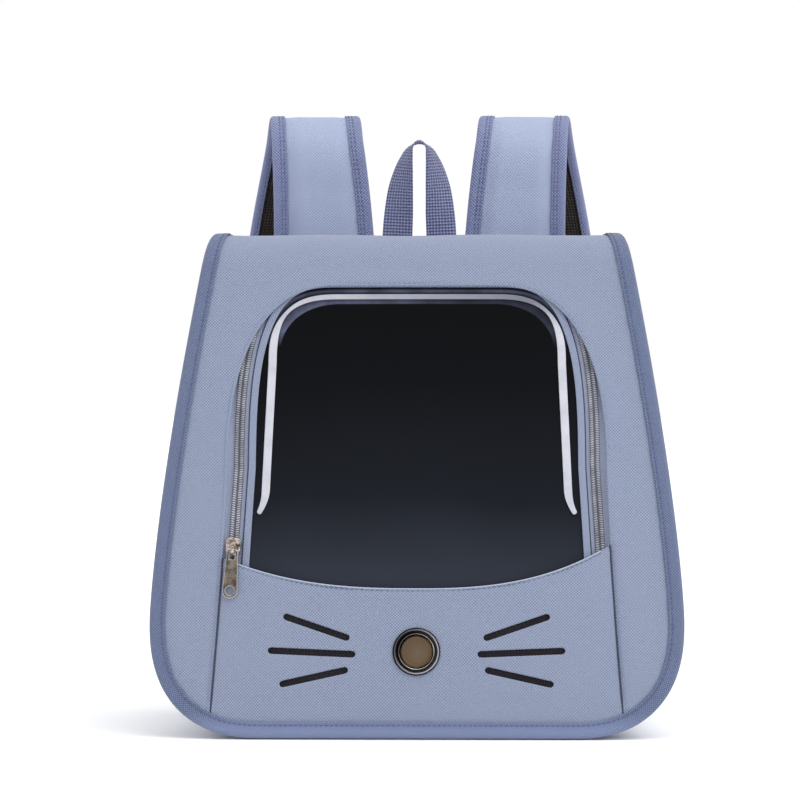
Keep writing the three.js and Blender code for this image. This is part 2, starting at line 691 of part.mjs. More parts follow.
function strapPad(frames) {
  const { edgeHalf, crown, crownFrom, crownTo, inset: edge } = STRAP;
  const columns = (half) => {
    const rim = half - edge;
    return [-rim, crownFrom - half, crownTo - half, half - crownTo, half - crownFrom, rim];
  };
  const top = [edgeHalf, edgeHalf, crown, crown, edgeHalf, edgeHalf];
  const outer = (i, k) => ribbonPoint(frames[i], columns(frames[i].half)[k], top[k]);
  const inner = (i, k) => ribbonPoint(frames[i], columns(frames[i].half)[k], -edgeHalf);
  return thickSheet(frames.length - 1, top.length - 1, outer, inner);
}

function strapMesh(frames) {
  const front = -STRAP.edgeHalf - STRAP.meshGap;
  const columns = (half) => {
    const rim = half - STRAP.inset;
    const seam = half - STRAP.crownFrom;
    return [-rim, -seam, seam, rim];
  };
  const point = (depth) => (i, k) => ribbonPoint(frames[i], columns(frames[i].half)[k], depth);
  return thickSheet(frames.length - 1, 3, point(front), point(front - STRAP.mesh));
}

function strapBinding(frames, edge) {
  const { edgeHalf, mesh, meshGap } = STRAP;
  const high = edgeHalf + SEAM_GAP;
  const low = -edgeHalf - meshGap - mesh - SEAM_GAP;
  const section = [
    { outer: [BINDING_WIDTH, high + BINDING_CLOTH], inner: [BINDING_WIDTH, high] },
    { outer: [0, high + BINDING_CLOTH], inner: [BINDING_CLOTH, high] },
    { outer: [0, low - BINDING_CLOTH], inner: [BINDING_CLOTH, low] },
    { outer: [BINDING_BACK_WIDTH, low - BINDING_CLOTH], inner: [BINDING_BACK_WIDTH, low] },
  ];
  const point = (side) => (i, k) => {
    const [amount, depth] = section[k][side];
    return ribbonPoint(frames[i], edge * (frames[i].half - amount), depth);
  };
  return thickSheet(frames.length - 1, section.length - 1, point('outer'), point('inner'));
}

// Frame of the adjuster, just past the end of the strap: x across, y back along the strap, z out
function adjusterFrame(frames) {
  const end = frames[frames.length - 1];
  const up = end.along.clone().negate();
  const middle = end.place.clone().addScaledVector(end.along, ADJUSTER.high + SEAM_GAP);
  const out = end.width.clone().cross(up);
  return new THREE.Matrix4().makeBasis(end.width, up, out).setPosition(middle);
}

function strapAdjuster() {
  const { half, high, bar, thick, slotHalf, midHalf, corner } = ADJUSTER;
  const plate = new THREE.Shape();
  plate.absarc(half - corner, high - corner, corner, 0, Math.PI / 2);
  plate.absarc(corner - half, high - corner, corner, Math.PI / 2, Math.PI);
  plate.absarc(corner - half, corner - high, corner, Math.PI, 1.5 * Math.PI);
  plate.absarc(half - corner, corner - high, corner, 1.5 * Math.PI, 2 * Math.PI);
  for (const side of [-1, 1]) {
    const slot = new THREE.Path();
    slot.moveTo(-slotHalf, side * midHalf);
    slot.lineTo(slotHalf, side * midHalf);
    slot.lineTo(slotHalf, side * (high - bar));
    slot.lineTo(-slotHalf, side * (high - bar));
    plate.holes.push(slot);
  }
  return facingOut(extruded(plate, thick, STEPS.adjusterCurve).translate(0, 0, -thick / 2));
}

// Webbing from the lower corner of the back, up and over the adjuster's middle bar
function strapWebbing(side, frame) {
  const { x, z, sewn, lift } = STRAP_ANCHOR;
  const y = BACK_Y + SEAM_GAP + WEBBING.thick / 2;
  const anchored = [new THREE.Vector3(side * x, y, z), new THREE.Vector3(side * x, y + lift, z + sewn)];
  const woven = WEBBING_WEAVE.map((w) => new THREE.Vector3(0, w.up, w.out).applyMatrix4(frame));
  const points = [...anchored, ...woven];
  const curve = new THREE.CatmullRomCurve3(points);
  const free = anchored.length / (points.length - 1);
  const stops = [...spread(0, free, STEPS.webbingFree), ...spread(free, 1, STEPS.webbingWoven).slice(1)];
  const width = new THREE.Vector3(1, 0, 0);
  const frames = stops.map((t) => {
    const along = curve.getTangent(t);
    const across = width.clone().addScaledVector(along, -along.dot(width)).normalize();
    return { place: curve.getPoint(t), width: across, out: across.clone().cross(along) };
  });
  const point = (depth) => (i, k) => ribbonPoint(frames[i], lerp(-WEBBING.half, WEBBING.half, k), depth);
  return thickSheet(frames.length - 1, 1, point(WEBBING.thick / 2), point(-WEBBING.thick / 2));
}

function grabHandle() {
  const y = BACK_Y + SEAM_GAP + WEBBING.thick / 2;
  const half = HANDLE_ROUTE.map((r) => new THREE.Vector3(r.x, y, r.z));
  const twist = HANDLE_ROUTE.map((r) => r.twist);
  const left = half.slice(0, -1).map((p) => new THREE.Vector3(-p.x, p.y, p.z));
  const curve = new THREE.CatmullRomCurve3([...left, ...half.reverse()]);
  const count = curve.points.length - 1;
  const frames = spread(0, 1, STEPS.handle).map((t) => {
    const place = curve.getPoint(t);
    const row = Math.min(t, 1 - t) * count;
    const step = Math.min(Math.floor(row), twist.length - 2);
    const angle = THREE.MathUtils.degToRad(lerp(twist[step], twist[step + 1], row - step));
    const along = curve.getTangent(t);
    const across = new THREE.Vector3(t < 0.5 ? Math.cos(angle) : -Math.cos(angle), Math.sin(angle), 0);
    across.addScaledVector(along, -along.dot(across)).normalize();
    return { place, width: across, out: along.clone().cross(across) };
  });
  const point = (depth) => (i, k) => ribbonPoint(frames[i], lerp(-WEBBING.half, WEBBING.half, k), depth);
  return thickSheet(STEPS.handle, 1, point(WEBBING.thick / 2), point(-WEBBING.thick / 2));
}

// Front
addPiece('front_frame_panel', 'cloth', framePanel());
addPiece('lower_front_panel', 'cloth', lowerPanel());
addPiece('front_binding', 'binding', edgeBinding(outline, outlineIn, panelPoint));
addPiece('nose_eyelet_ring', 'gunmetal', facingOut(eyeletRing()));
addPiece('nose_eyelet_plate', 'bronze', facingOut(eyeletPlate()));
addPiece('whisker_mesh_left', 'mesh', whiskerMesh(-1));
addPiece('whisker_mesh_right', 'mesh', whiskerMesh(1));

// Window and zip
addPiece('zip_tape', 'tape', zipBand([
  { out: TAPE_OUT, front: DEPTH.hemFront, back: DEPTH.hemBack },
  { out: TAPE_STEP_FROM, front: DEPTH.hemFront, back: DEPTH.hemBack },
  { out: TAPE_STEP_TO, front: DEPTH.tapeFront, back: DEPTH.tapeBack },
  { out: -TAPE_IN, front: DEPTH.tapeFront, back: DEPTH.tapeBack },
]));
addPiece('zip_chain', 'chain', zipBand([
  { out: CHAIN_HALF, front: DEPTH.chainSide, back: DEPTH.onTape },
  { out: CHAIN_RIDGE_HALF, front: DEPTH.chainRidge, back: DEPTH.onTape },
  { out: -CHAIN_RIDGE_HALF, front: DEPTH.chainRidge, back: DEPTH.onTape },
  { out: -CHAIN_HALF, front: DEPTH.chainSide, back: DEPTH.onTape },
]));
addPiece('window_border', 'cloth', zipBand([
  { out: -BORDER_FROM, front: DEPTH.border, back: DEPTH.onTape },
  { out: -BORDER_TO, front: DEPTH.border, back: DEPTH.onTape },
]));
addPiece('window_film', 'film', windowFilm());
addPiece('window_edge_strip', 'strip', edgeStrip());
const sliderSpin = Math.atan(-ZIP_ARCH.slope);
const sliderFrame = panelFrame(-archedHalf(SLIDER_S, ZIP_ARCH), SLIDER_S, sliderSpin);
addPiece('zip_slider', 'nickel', sliderBody().applyMatrix4(sliderFrame));
addPiece('zip_pull', 'nickel', pullTag().applyMatrix4(sliderFrame));

// Body
const bottomMiddle = (outline.length - 1) / 2;
const cornerLeft = bottomMiddle - BASE_POINTS + 1;
const cornerRight = bottomMiddle + BASE_POINTS - 1;
addPiece('side_panel_left', 'cloth', gusset(GUSSET_ENDS, cornerLeft, 0));
addPiece('base_panel', 'cloth', gusset(cornerLeft, cornerRight, SEAM_GAP));
addPiece('side_panel_right', 'cloth', gusset(cornerRight, outline.length - 1 - GUSSET_ENDS, 0));
const backRows = panelRows(backOutline, backIn);
backRows.at(-1).y = HEIGHT - SEAM_GAP;
addPiece('back_panel', 'cloth', filledPanel(backRows, STEPS.backAcross, backPoint, 0, -CLOTH));
addPiece('back_binding', 'binding', edgeBinding(backOutline, backIn, backPoint, GUSSET_ENDS));

// Carrying gear
addPiece('grab_handle', 'webbing', grabHandle());
for (const [name, side] of [['left', -1], ['right', 1]]) {
  const frames = strapFrames(side);
  const frame = adjusterFrame(frames);
  addPiece(`strap_pad_${name}`, 'cloth', strapPad(frames));
  addPiece(`strap_mesh_${name}`, 'mesh', strapMesh(frames));
  addPiece(`strap_binding_inner_${name}`, 'binding', strapBinding(frames, -side));
  addPiece(`strap_binding_outer_${name}`, 'binding', strapBinding(frames, side));
  addPiece(`strap_adjuster_${name}`, 'plastic', strapAdjuster().applyMatrix4(frame));
  addPiece(`strap_webbing_${name}`, 'webbing', strapWebbing(side, frame));
}

export default pack;
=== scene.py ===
# Pet carrier backpack: sewn cloth, webbing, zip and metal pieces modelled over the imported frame.
# Sizes are in millimetres and are turned into metres where a mesh is made.
import math

import bmesh
import bpy
import numpy as np
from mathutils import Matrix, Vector
from mathutils.geometry import delaunay_2d_cdt


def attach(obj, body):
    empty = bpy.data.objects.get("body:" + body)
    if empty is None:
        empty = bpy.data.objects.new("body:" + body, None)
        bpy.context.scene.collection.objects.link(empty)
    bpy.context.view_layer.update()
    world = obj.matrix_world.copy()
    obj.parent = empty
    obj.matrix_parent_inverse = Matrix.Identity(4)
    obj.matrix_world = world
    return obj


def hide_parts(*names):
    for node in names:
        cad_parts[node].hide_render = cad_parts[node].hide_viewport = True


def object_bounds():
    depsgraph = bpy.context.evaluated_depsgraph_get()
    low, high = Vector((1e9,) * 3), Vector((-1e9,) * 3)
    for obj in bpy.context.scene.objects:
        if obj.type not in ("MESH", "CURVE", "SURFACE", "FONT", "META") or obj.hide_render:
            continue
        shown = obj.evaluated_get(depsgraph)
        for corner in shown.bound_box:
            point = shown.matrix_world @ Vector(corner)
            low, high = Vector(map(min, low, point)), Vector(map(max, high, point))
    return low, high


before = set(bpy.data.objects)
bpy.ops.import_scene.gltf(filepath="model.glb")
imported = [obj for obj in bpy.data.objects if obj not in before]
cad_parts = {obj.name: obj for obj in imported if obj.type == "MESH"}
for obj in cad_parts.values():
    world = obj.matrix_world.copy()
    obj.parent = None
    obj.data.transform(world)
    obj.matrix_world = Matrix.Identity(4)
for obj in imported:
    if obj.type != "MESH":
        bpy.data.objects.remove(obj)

CAD_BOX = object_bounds()
MM = 0.001
PI = math.pi
join, norm = np.concatenate, np.linalg.norm
SIDES = (("left", -1), ("right", 1))

# Photograph: camera place, its turn to the right and the width that it sees at the foot of the front
CAMERA = (26.0, -2309.9, 257.4)
CAMERA_TURN = math.radians(-1.0)
VIEW_WIDTH, VIEW_DISTANCE, SENSOR = 608.0, 2200.0, 36.0

# Cloth and seams
CLOTH, GUSSET_CLOTH, SEAM_GAP, EDGE_INSET, FLANGE_INSET = 2.0, 1.5, 0.4, 3.0, 3.2
BINDING_WIDTH, BINDING_CLOTH, BINDING_BACK_WIDTH = 12.0, 1.3, 7.5
GUSSET_INSET, SIDE_PULL_IN, CORNER_BLEND, GUSSET_TOP_GAP = 9.6, -5.0, 70.0, 9.0
FLANGE_FRONT = -CLOTH - SEAM_GAP
FLANGE_BACK = FLANGE_FRONT - GUSSET_CLOTH

# Body
HEIGHT, BASE_DEPTH, TOP_SETBACK = 388.0, 220.0, 70.0
FOLD_RADIUS, CROWN = 30.0, 10.0
FRONT_Y, BACK_Y = -BASE_DEPTH / 2, BASE_DEPTH / 2 - CLOTH
FLAT_HALF, WIDEST_HALF = 118.0, 205.0
CORNER_RISE, CORNER_POWER = 91.0, 2.4
SIDE_TAPER, TAPER_POWER, TOP_TAPER = 36.0, 1.4, 0.04
BACK_NARROWING, BACK_SHOULDER, BACK_HIGHEST, BACK_SHOULDER_SLOPE = 0.96, 345.0, 384.0, 0.18
LEAN = math.atan2(TOP_SETBACK, HEIGHT)
FOLD_START = (HEIGHT - FOLD_RADIUS * (1 - math.sin(LEAN))) / math.cos(LEAN)
FOLD_END = FOLD_START + FOLD_RADIUS * (PI / 2 - LEAN)
FOLD_Y = FRONT_Y + FOLD_START * math.sin(LEAN) + FOLD_RADIUS * math.cos(LEAN)
TOP_END = FOLD_END + BACK_Y - CLOTH - SEAM_GAP - FOLD_Y

# Zip, window and the lower panel's sagging edge
ZIP_BOTTOM, HEM_GAP, TAPE_CLOTH, TAPE_FRONT = 116.0, 0.7, 1.0, -4.6
TAPE_OUT, TAPE_STEP_FROM, TAPE_STEP_TO, TAPE_IN = 14.0, 9.0, 6.0, 8.0
BORDER_FROM, BORDER_TO, BORDER_FRONT = 7.5, 13.0, -3.0
FILM_FROM, FILM_BOTTOM, FILM_ROLL = 8.6, 101.0, 0.4
STRIP_SIDE, STRIP_CORNER, STRIP_ACROSS = 6.4, 3.0, 4.2
STRIP_BOTTOM, STRIP_END, STRIP_FLARE, STRIP_CLOTH = 172.0, 18.0, 4.8, 1.0
SAG_LOW, SAG_RISE_LEFT, SAG_RISE_RIGHT, SAG_POWER, SAG_REACH = 113.6, 24.0, 34.0, 2.6, 1.1
ON_TAPE = TAPE_FRONT + SEAM_GAP
HEM_FRONT = -CLOTH - HEM_GAP

# Whisker cuts (inner x, inner s, outer x, outer s), the net behind them, and the eyelet
WHISKER_WIDTH = 5.0
WHISKERS = [(53.4, 76.3, 99.6, 92.2), (48.9, 63.7, 111.2, 66.5), (54.5, 51.6, 102.2, 41.1)]
NET_X, NET_S, NET_CLOTH, NET_ROLL = (42.0, 119.0), (33.0, 100.0), 1.0, 0.3
EYELET_S, EYELET_HOLE, EYELET_SEAT = 65.5, 14.3, 19.0

# Shoulder strap, right side: x, y, z of its middle line and its half width
STRAP_ROUTE = [
    (79.5, 113.4, 352, 42.3), (79.8, 113.4, 386, 42.3), (82, 115, 430, 40.5), (85.6, 118, 474, 38.4),
    (88.6, 135, 495, 38), (93.6, 152, 473, 37.5), (108.5, 160, 400, 36.5), (123, 163, 300, 36),
    (133, 152, 200, 33), (137, 143, 158, 28),
]
STRAP_EDGE, STRAP_CROWN, STRAP_MESH, STRAP_MESH_GAP, STRAP_INSET = 1.2, 5.0, 1.0, 0.6, 1.7
CROWN_FROM, CROWN_OVER = 12.0, 12.0
WEBBING_HALF, WEBBING_THICK = 12.5, 1.6
WEBBING_Y = BACK_Y + SEAM_GAP + WEBBING_THICK / 2
ANCHOR_X, ANCHOR_Z, ANCHOR_SEWN, ANCHOR_LIFT = 152.0, 46.0, 20.0, 2.0
ADJUSTER_HIGH = 12.0
# Webbing in the adjuster: rise along it and lift from its middle
WEBBING_WEAVE = [
    (-30, -3.2), (-13, -3.5), (-8.2, -3.3), (-5, 0), (-2.4, 3.2), (0, 4), (2.6, 3.1), (5, 0.2),
]
# Grab handle, right leg: x, z and twist in degrees
HANDLE_X = 18.5
HANDLE_ROUTE = [
    (HANDLE_X, 352, 0), (HANDLE_X, 390, 0), (17.4, 412, 14), (15.4, 436, 36), (11, 459, 64), (7, 469, 80),
    (0, 473, 90),
]


# Numbers and paths
def pairs(x, y):
    """Rows of x and y, from two arrays or from an array and a number."""
    return np.stack(np.broadcast_arrays(x, y), -1)


def unit(vectors):
    return vectors / norm(vectors, axis=-1, keepdims=True)


def ease(t):
    t = np.clip(t, 0, 1)
    return t * t * (3 - 2 * t)


def bell(t):
    return np.exp(-(t**2))


def super_curve(t, power):
    return (1 - (1 - np.clip(t, 0, 1)) ** power) ** (1 / power)


def circle(radius, turn):
    return radius * pairs(np.cos(turn), np.sin(turn))


def full_turn(steps):
    return np.linspace(0, 2 * PI, steps, endpoint=False)


def spread(start, end, spacing):
    return np.linspace(start, end, max(round(abs(end - start) / spacing), 1) + 1)


def left_of(along):
    return pairs(-along[:, 1], along[:, 0])


def path_normals(path):
    return left_of(unit(np.gradient(path, axis=0)))


def run_length(path):
    return np.cumsum(norm(np.gradient(path, axis=0), axis=1))[:, None]


def resample(path, spacing):
    steps = norm(np.diff(path[:, :3], axis=0), axis=1)
    length = join([[0], np.cumsum(steps)])
    at = spread(0, length[-1], spacing)
    return np.stack([np.interp(at, length, column) for column in path.T], -1)


def mirrored(half):
    return join([half[:0:-1] * [-1, 1], half])


def smooth_route(points, steps):
    """Centripetal Catmull-Rom curve through the first three columns; the others are mixed linearly."""
    points = np.asarray(points, float)
    padded = join([[2 * points[0] - points[1]], points, [2 * points[-1] - points[-2]]])
    span = norm(np.diff(padded[:, :3], axis=0), axis=1)[:, None] ** 0.5
    slope = np.diff(padded, axis=0) / span
    slope = slope[:-1] + slope[1:] - (padded[2:] - padded[:-2]) / (span[:-1] + span[1:])
    at = np.arange(steps * (len(points) - 1) + 1) / steps
    i = np.minimum(at.astype(int), len(points) - 2)
    t = (at - i)[:, None]
    step = points[i + 1] - points[i]
    leave, arrive = slope[i] * span[i + 1], slope[i + 1] * span[i + 1]
    curve = points[i] + leave * t + (3 * step - 2 * leave - arrive) * t**2
    curve += (leave + arrive - 2 * step) * t**3
    return np.hstack([curve[:, :3], (points[i] + step * t)[:, 3:]])


RIPPLE_WAVES = 9
RIPPLE_STRETCH = (0.7, 1.5)


def ripples(u, v, wavelength, seed):
    """Soft uneven relief, mostly between -1 and 1, with bumps about a wavelength apart."""
    rng = np.random.default_rng(seed)
    total = np.zeros(np.broadcast(u, v).shape)
    low, high = (0, 0, RIPPLE_STRETCH[0]), (PI, 2 * PI, RIPPLE_STRETCH[1])
    for turn, phase, stretch in rng.uniform(low, high, (RIPPLE_WAVES, 3)):
        along = u * math.cos(turn) + v * math.sin(turn)
        total += np.sin(along * 2 * PI / (wavelength * stretch) + phase)
    return total / math.sqrt(2 * RIPPLE_WAVES)


# Unevenness of each cloth: rows of height, wavelength and seed
SLACK = {
    "frame": [(0.45, 110, 3), (0.16, 38, 4)],
    "lower": [(0.35, 80, 5), (0.12, 30, 6)],
    "net": [(0.1, 20, 7)],
    "gusset": [(1.2, 95, 21), (0.5, 40, 22)],
    "back": [(0.4, 90, 31)],
    "film": [(0.25, 130, 41)],
    "pad": [(0.45, 60, 51), (0.2, 24, 52)],
    "strap_tape": [(0.2, 17, 53)],
}


def slack(cloth, u, v):
    return sum(height * ripples(u, v, wavelength, seed) for height, wavelength, seed in SLACK[cloth])


# Flat pattern of the front cloth: x across, s up along the panel
ARCH_FLAT = 60.0
ARCH_SPACING, ARCH_SAMPLES = 2.0, 120


class Arch:
    """An arch on the front: legs that flare out downwards, under a rounded top."""

    def __init__(self, half, start, top, power, flare=0.0, bend=1.0):
        self.half, self.start, self.top, self.power = half, start, top, power
        self.flare, self.bend = flare, bend

    def reach(self, s):
        """Half width at s."""
        leg = self.half + self.flare * np.maximum(1 - s / self.start, 0) ** self.bend
        t = 1 - (s - self.start) / (self.top - self.start)
        arch = ARCH_FLAT + (self.half - ARCH_FLAT) * super_curve(t, self.power)
        return np.where(s < self.start, leg, arch)

    def path(self, foot):
        """From its lower left end over the top to its lower right end."""
        turn = np.sin(np.linspace(1, 0, ARCH_SAMPLES) * PI / 2)
        legs = spread(self.start, foot, ARCH_SPACING)[1:]
        levels = join([self.start + (self.top - self.start) * turn, legs])
        flat = pairs(spread(0, ARCH_FLAT, ARCH_SPACING)[:-1], self.top)
        half = join([flat, pairs(self.reach(levels), levels)])
        return resample(mirrored(half), ARCH_SPACING)


FRAME_ARCH = Arch(half=146.0, start=208.0, top=352.0, power=2.4, flare=12.8, bend=1.3)
ZIP_ARCH = Arch(half=137.5, start=208.0, top=364.5, power=3.0, flare=11.5648)
STRIP_ARCH = Arch(half=112.5, start=290.0, top=343.8, power=2.8, flare=11.6)
REFLECTION_ARCH = Arch(half=106.5, start=298.0, top=337.8, power=2.15)


def outline_half(s):
    corner = FLAT_HALF + (WIDEST_HALF - FLAT_HALF) * super_curve(s / CORNER_RISE, CORNER_POWER)
    up = np.clip((np.minimum(s, FOLD_END) - CORNER_RISE) / (FOLD_START - CORNER_RISE), 0, None)
    side = WIDEST_HALF - SIDE_TAPER * up**TAPER_POWER - TOP_TAPER * np.maximum(s - FOLD_END, 0)
    return np.where(s < CORNER_RISE, corner, side)


def outline_bottom(x):
    t = (np.abs(x) - FLAT_HALF) / (WIDEST_HALF - FLAT_HALF)
    return CORNER_RISE * (1 - super_curve(1 - t, CORNER_POWER))


def sag_height(x):
    rise = np.where(x < 0, SAG_RISE_LEFT, SAG_RISE_RIGHT)
    return SAG_LOW + rise * np.minimum(np.abs(x) / FRAME_ARCH.half, SAG_REACH) ** SAG_POWER


def panel_place(x, s, depth):
    """Lays flat points on the bag: up the leaning front, round the fold and back over the top."""
    x, s, depth = np.broadcast_arrays(x, s, depth)
    angle = LEAN + np.clip((s - FOLD_START) / FOLD_RADIUS, 0, PI / 2 - LEAN)
    straight = np.minimum(s, FOLD_START)
    start_y = FRONT_Y + straight * math.sin(LEAN) + FOLD_RADIUS * math.cos(LEAN)
    start_z = straight * math.cos(LEAN) - FOLD_RADIUS * math.sin(LEAN)
    t = np.clip(s / FOLD_START, 0, 1)
    across = np.maximum(1 - (x / outline_half(s)) ** 2, 0)
    out = FOLD_RADIUS + depth + CROWN * across * 4 * t * (1 - t)
    y = start_y - np.cos(angle) * out + np.maximum(s - FOLD_END, 0)
    return np.stack([x, y, start_z + np.sin(angle) * out], -1)


def back_place(x, z, depth):
    x, z, depth = np.broadcast_arrays(x, z, depth)
    return np.stack([x, BACK_Y + depth, z], -1)


# Outlines shared by several pieces
PATH_SPACING = 3.0
CORNER_SAMPLES = 160


def front_outline():
    corner = CORNER_RISE * np.linspace(0, 1, CORNER_SAMPLES)[1:] ** 3
    levels = join([corner, spread(CORNER_RISE, TOP_END, 1.0)[1:]])
    half = join([[(0, 0), (FLAT_HALF, 0)], pairs(outline_half(levels), levels)])
    return resample(mirrored(half), PATH_SPACING)


def back_outline(outline):
    x, s = outline.T
    over = np.clip((s - FOLD_START) / (TOP_END - FOLD_START), 0, 1)
    shoulder = BACK_SHOULDER + (BACK_HIGHEST - BACK_SHOULDER) * over
    z = np.where(s < FOLD_START, s * BACK_SHOULDER / FOLD_START, shoulder)
    level = np.minimum(z, BACK_SHOULDER) * FOLD_START / BACK_SHOULDER
    half = BACK_NARROWING * outline_half(level) - BACK_SHOULDER_SLOPE * np.maximum(z - BACK_SHOULDER, 0)
    return pairs(np.where(z > 0, np.sign(x) * half, x * BACK_NARROWING), z)


OUTLINE = front_outline()
OUTLINE_IN = path_normals(OUTLINE)
BACK = back_outline(OUTLINE)
BACK_IN = path_normals(BACK)
FOOT = float(outline_bottom(FRAME_ARCH.reach(0.0)) + EDGE_INSET)
ARCH = FRAME_ARCH.path(FOOT)
ZIP = ZIP_ARCH.path(ZIP_BOTTOM)
STRIP = STRIP_ARCH.path(STRIP_BOTTOM + STRIP_END)


# Meshes: a shape is its points, its faces and the flat plan of each corner of its faces
FLAT = "cloth_plan"
SHARP = math.radians(50)
MERGED = 1e-6


def add_object(name, data):
    item = bpy.data.objects.new(name, data)
    bpy.context.collection.objects.link(item)
    return item


def new_piece(name, shape, look, slot, *replaced, body="bag", sharp=False):
    points, faces, plan = shape
    mesh = bpy.data.meshes.new(name)
    mesh.from_pydata((np.asarray(points) * MM).tolist(), [], [list(map(int, face)) for face in faces])
    mesh.uv_layers.new(name=FLAT).data.foreach_set("uv", (np.asarray(plan, float) * MM).ravel())
    work = bmesh.new()
    work.from_mesh(mesh)
    bmesh.ops.remove_doubles(work, verts=work.verts, dist=MERGED)
    bmesh.ops.recalc_face_normals(work, faces=work.faces)
    for face in work.faces:
        face.smooth = True
    work.to_mesh(mesh)
    work.free()
    if sharp:
        mesh.set_sharp_from_angle(angle=SHARP)
    mesh.materials.append(LOOKS[look])
    piece = add_object(name, mesh)
    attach(piece, body)
    if replaced:
        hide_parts(*replaced)
    return piece


def loft(rings, wrap=False):
    """Skin through closed rings of points; the rows wrap round too where wrap is true."""
    rings = np.asarray(rings, float)
    rows, count = rings.shape[:2]
    i, k = np.meshgrid(np.arange(rows if wrap else rows - 1), np.arange(count), indexing="ij")
    i, k = i.ravel(), k.ravel()
    after_i, after_k = (i + 1) % rows, (k + 1) % count
    faces = np.stack([i * count + k, after_i * count + k, after_i * count + after_k, i * count + after_k], -1)
    around = norm(np.roll(rings, -1, axis=1) - rings, axis=2).mean(axis=0)
    along = norm(np.roll(rings, -1, axis=0) - rings, axis=2).mean(axis=1)
    u, v = (join([[0], np.cumsum(steps)]) for steps in (around, along))
    plan = np.stack([u[[k, k, k + 1, k + 1]].T, v[[i, i + 1, i + 1, i]].T], -1).reshape(-1, 2)
    faces = faces.tolist()
    if not wrap:
        faces += [list(range(count)), list(range((rows - 1) * count, rows * count))]
        plan = join([plan, np.zeros((2 * count, 2))])
    return rings.reshape(-1, 3), faces, plan


TAPE_ARC = 4
FOLD_ARC, FOLD_COLUMNS, FOLD_BACK_COLUMNS = 10, 18, 4
SEWN_DEPTH, SEWN_WIDTH = 0.4, 0.8
TAPE_WAVELENGTH, TAPE_CALM = 17.0, 5.0


def tape_section(low, high, front, back, columns=6):
    """Closed section of a flat tape with rounded edges, as rows of across and depth."""
    radius, middle = (front - back) / 2, (front + back) / 2
    turn = np.linspace(-PI / 2, PI / 2, TAPE_ARC + 1)
    right = circle(radius, turn) + (high - radius, middle)
    left = (low + radius, middle) - circle(radius, turn)
    inner = np.linspace(0, 1, columns + 1)[1:-1, None]
    face, behind = right[-1] + (left[0] - right[-1]) * inner, left[-1] + (right[0] - left[-1]) * inner
    return join([right, face, left, behind])


def flat_section(half, thick, columns=6):
    return tape_section(-half, half, thick / 2, -thick / 2, columns)


def fold_section(width_front, width_back, high, low, sewn):
    """Closed section of a tape folded over an edge at across 0, open towards larger across."""
    middle, outer = (high + low) / 2, (high - low) / 2
    turn = np.linspace(PI / 2, 3 * PI / 2, FOLD_ARC + 1)
    rings = []
    for radius, offset in ((outer, 0.0), (outer - BINDING_CLOTH, BINDING_CLOTH)):
        across = np.linspace(width_front, offset + radius, FOLD_COLUMNS + 1)[:-1]
        pressed = sum(SEWN_DEPTH * bell((across - row) / SEWN_WIDTH) for row in sewn)
        front = pairs(across, middle + radius - (0 if offset else pressed))
        round_edge = circle(radius, turn) + (offset + radius, middle)
        back = pairs(np.linspace(offset + radius, width_back, FOLD_BACK_COLUMNS + 1)[1:], middle - radius)
        rings.append(join([front, round_edge, back]))
    round_off, half_cloth = BINDING_CLOTH / 3, BINDING_CLOTH / 2
    back_end = (width_back + round_off, low + half_cloth)
    front_end = (width_front + round_off, high - half_cloth)
    return join([rings[0], [back_end], rings[1][::-1], [front_end]])


def sweep(path, normals, section, place, wave=0.0, seed=0):
    """Rings of a tape section carried along a flat path; wave makes the tape's face uneven."""
    across = np.broadcast_to(section[:, 0], (len(path), len(section)))
    loose = wave * ripples(run_length(path), across, TAPE_WAVELENGTH, seed) * ease(across / TAPE_CALM)
    shift = across + 0.5 * loose
    x, s = (path[:, None, k] + normals[:, None, k] * shift for k in (0, 1))
    return place(x, s, section[:, 1] + loose)


def tape(name, path, section, look, slot, *replaced, sharp=False):
    """A section carried along a path on the front."""
    shape = loft(sweep(path, path_normals(path), section, panel_place))
    new_piece(name, shape, look, slot, *replaced, sharp=sharp)


def ribbon(places, across, out, section):
    """Rings of a section carried along places, with its own across and out directions."""
    return places[:, None] + across[:, None] * section[..., :1] + out[:, None] * section[..., 1:]


def flat_ribbon(line, across, section, face=1):
    """A section carried along a line in space, as near to the across direction as the line lets it."""
    along = unit(np.gradient(line, axis=0))
    across = unit(across - along * (along * across).sum(axis=1, keepdims=True))
    return loft(ribbon(line, across, face * np.cross(along, across), section))


BEAD_SIDES, BEAD_RINGS = 6, 4


def beads(size, places, axes):
    """Long rounded beads of a length, width and height, each at a place with its own three axes."""
    turn = full_turn(BEAD_SIDES)
    bend = np.linspace(0, PI, BEAD_RINGS + 2)[1:-1]
    points = [[-1, 0, 0]]
    for x, swell in zip(-np.cos(bend), np.sin(bend) ** 0.5):
        points += [[x, swell * math.cos(a), swell * math.sin(a)] for a in turn]
    points.append([1, 0, 0])
    side = [(k, (k + 1) % BEAD_SIDES) for k in range(BEAD_SIDES)]
    faces = [[0, 1 + b, 1 + a] for a, b in side]
    for low in range(1, 1 + (BEAD_RINGS - 1) * BEAD_SIDES, BEAD_SIDES):
        faces += [[low + a, low + b, low + BEAD_SIDES + b, low + BEAD_SIDES + a] for a, b in side]
    last = len(points) - 1
    faces += [[last - BEAD_SIDES + a, last - BEAD_SIDES + b, last] for a, b in side]
    places, axes = join(places), join(axes)
    spots = places[:, None, :] + np.einsum("vk,nkc->nvc", np.array(points) * size / 2, axes)
    joined = [[n * len(points) + c for c in face] for n in range(len(places)) for face in faces]
    return spots.reshape(-1, 3), joined, np.zeros((sum(map(len, joined)), 2))


STITCH_PITCH, STITCH_JITTER = 3.9, 0.05
STITCH_SIZE = np.array([2.7, 0.7, 0.6])


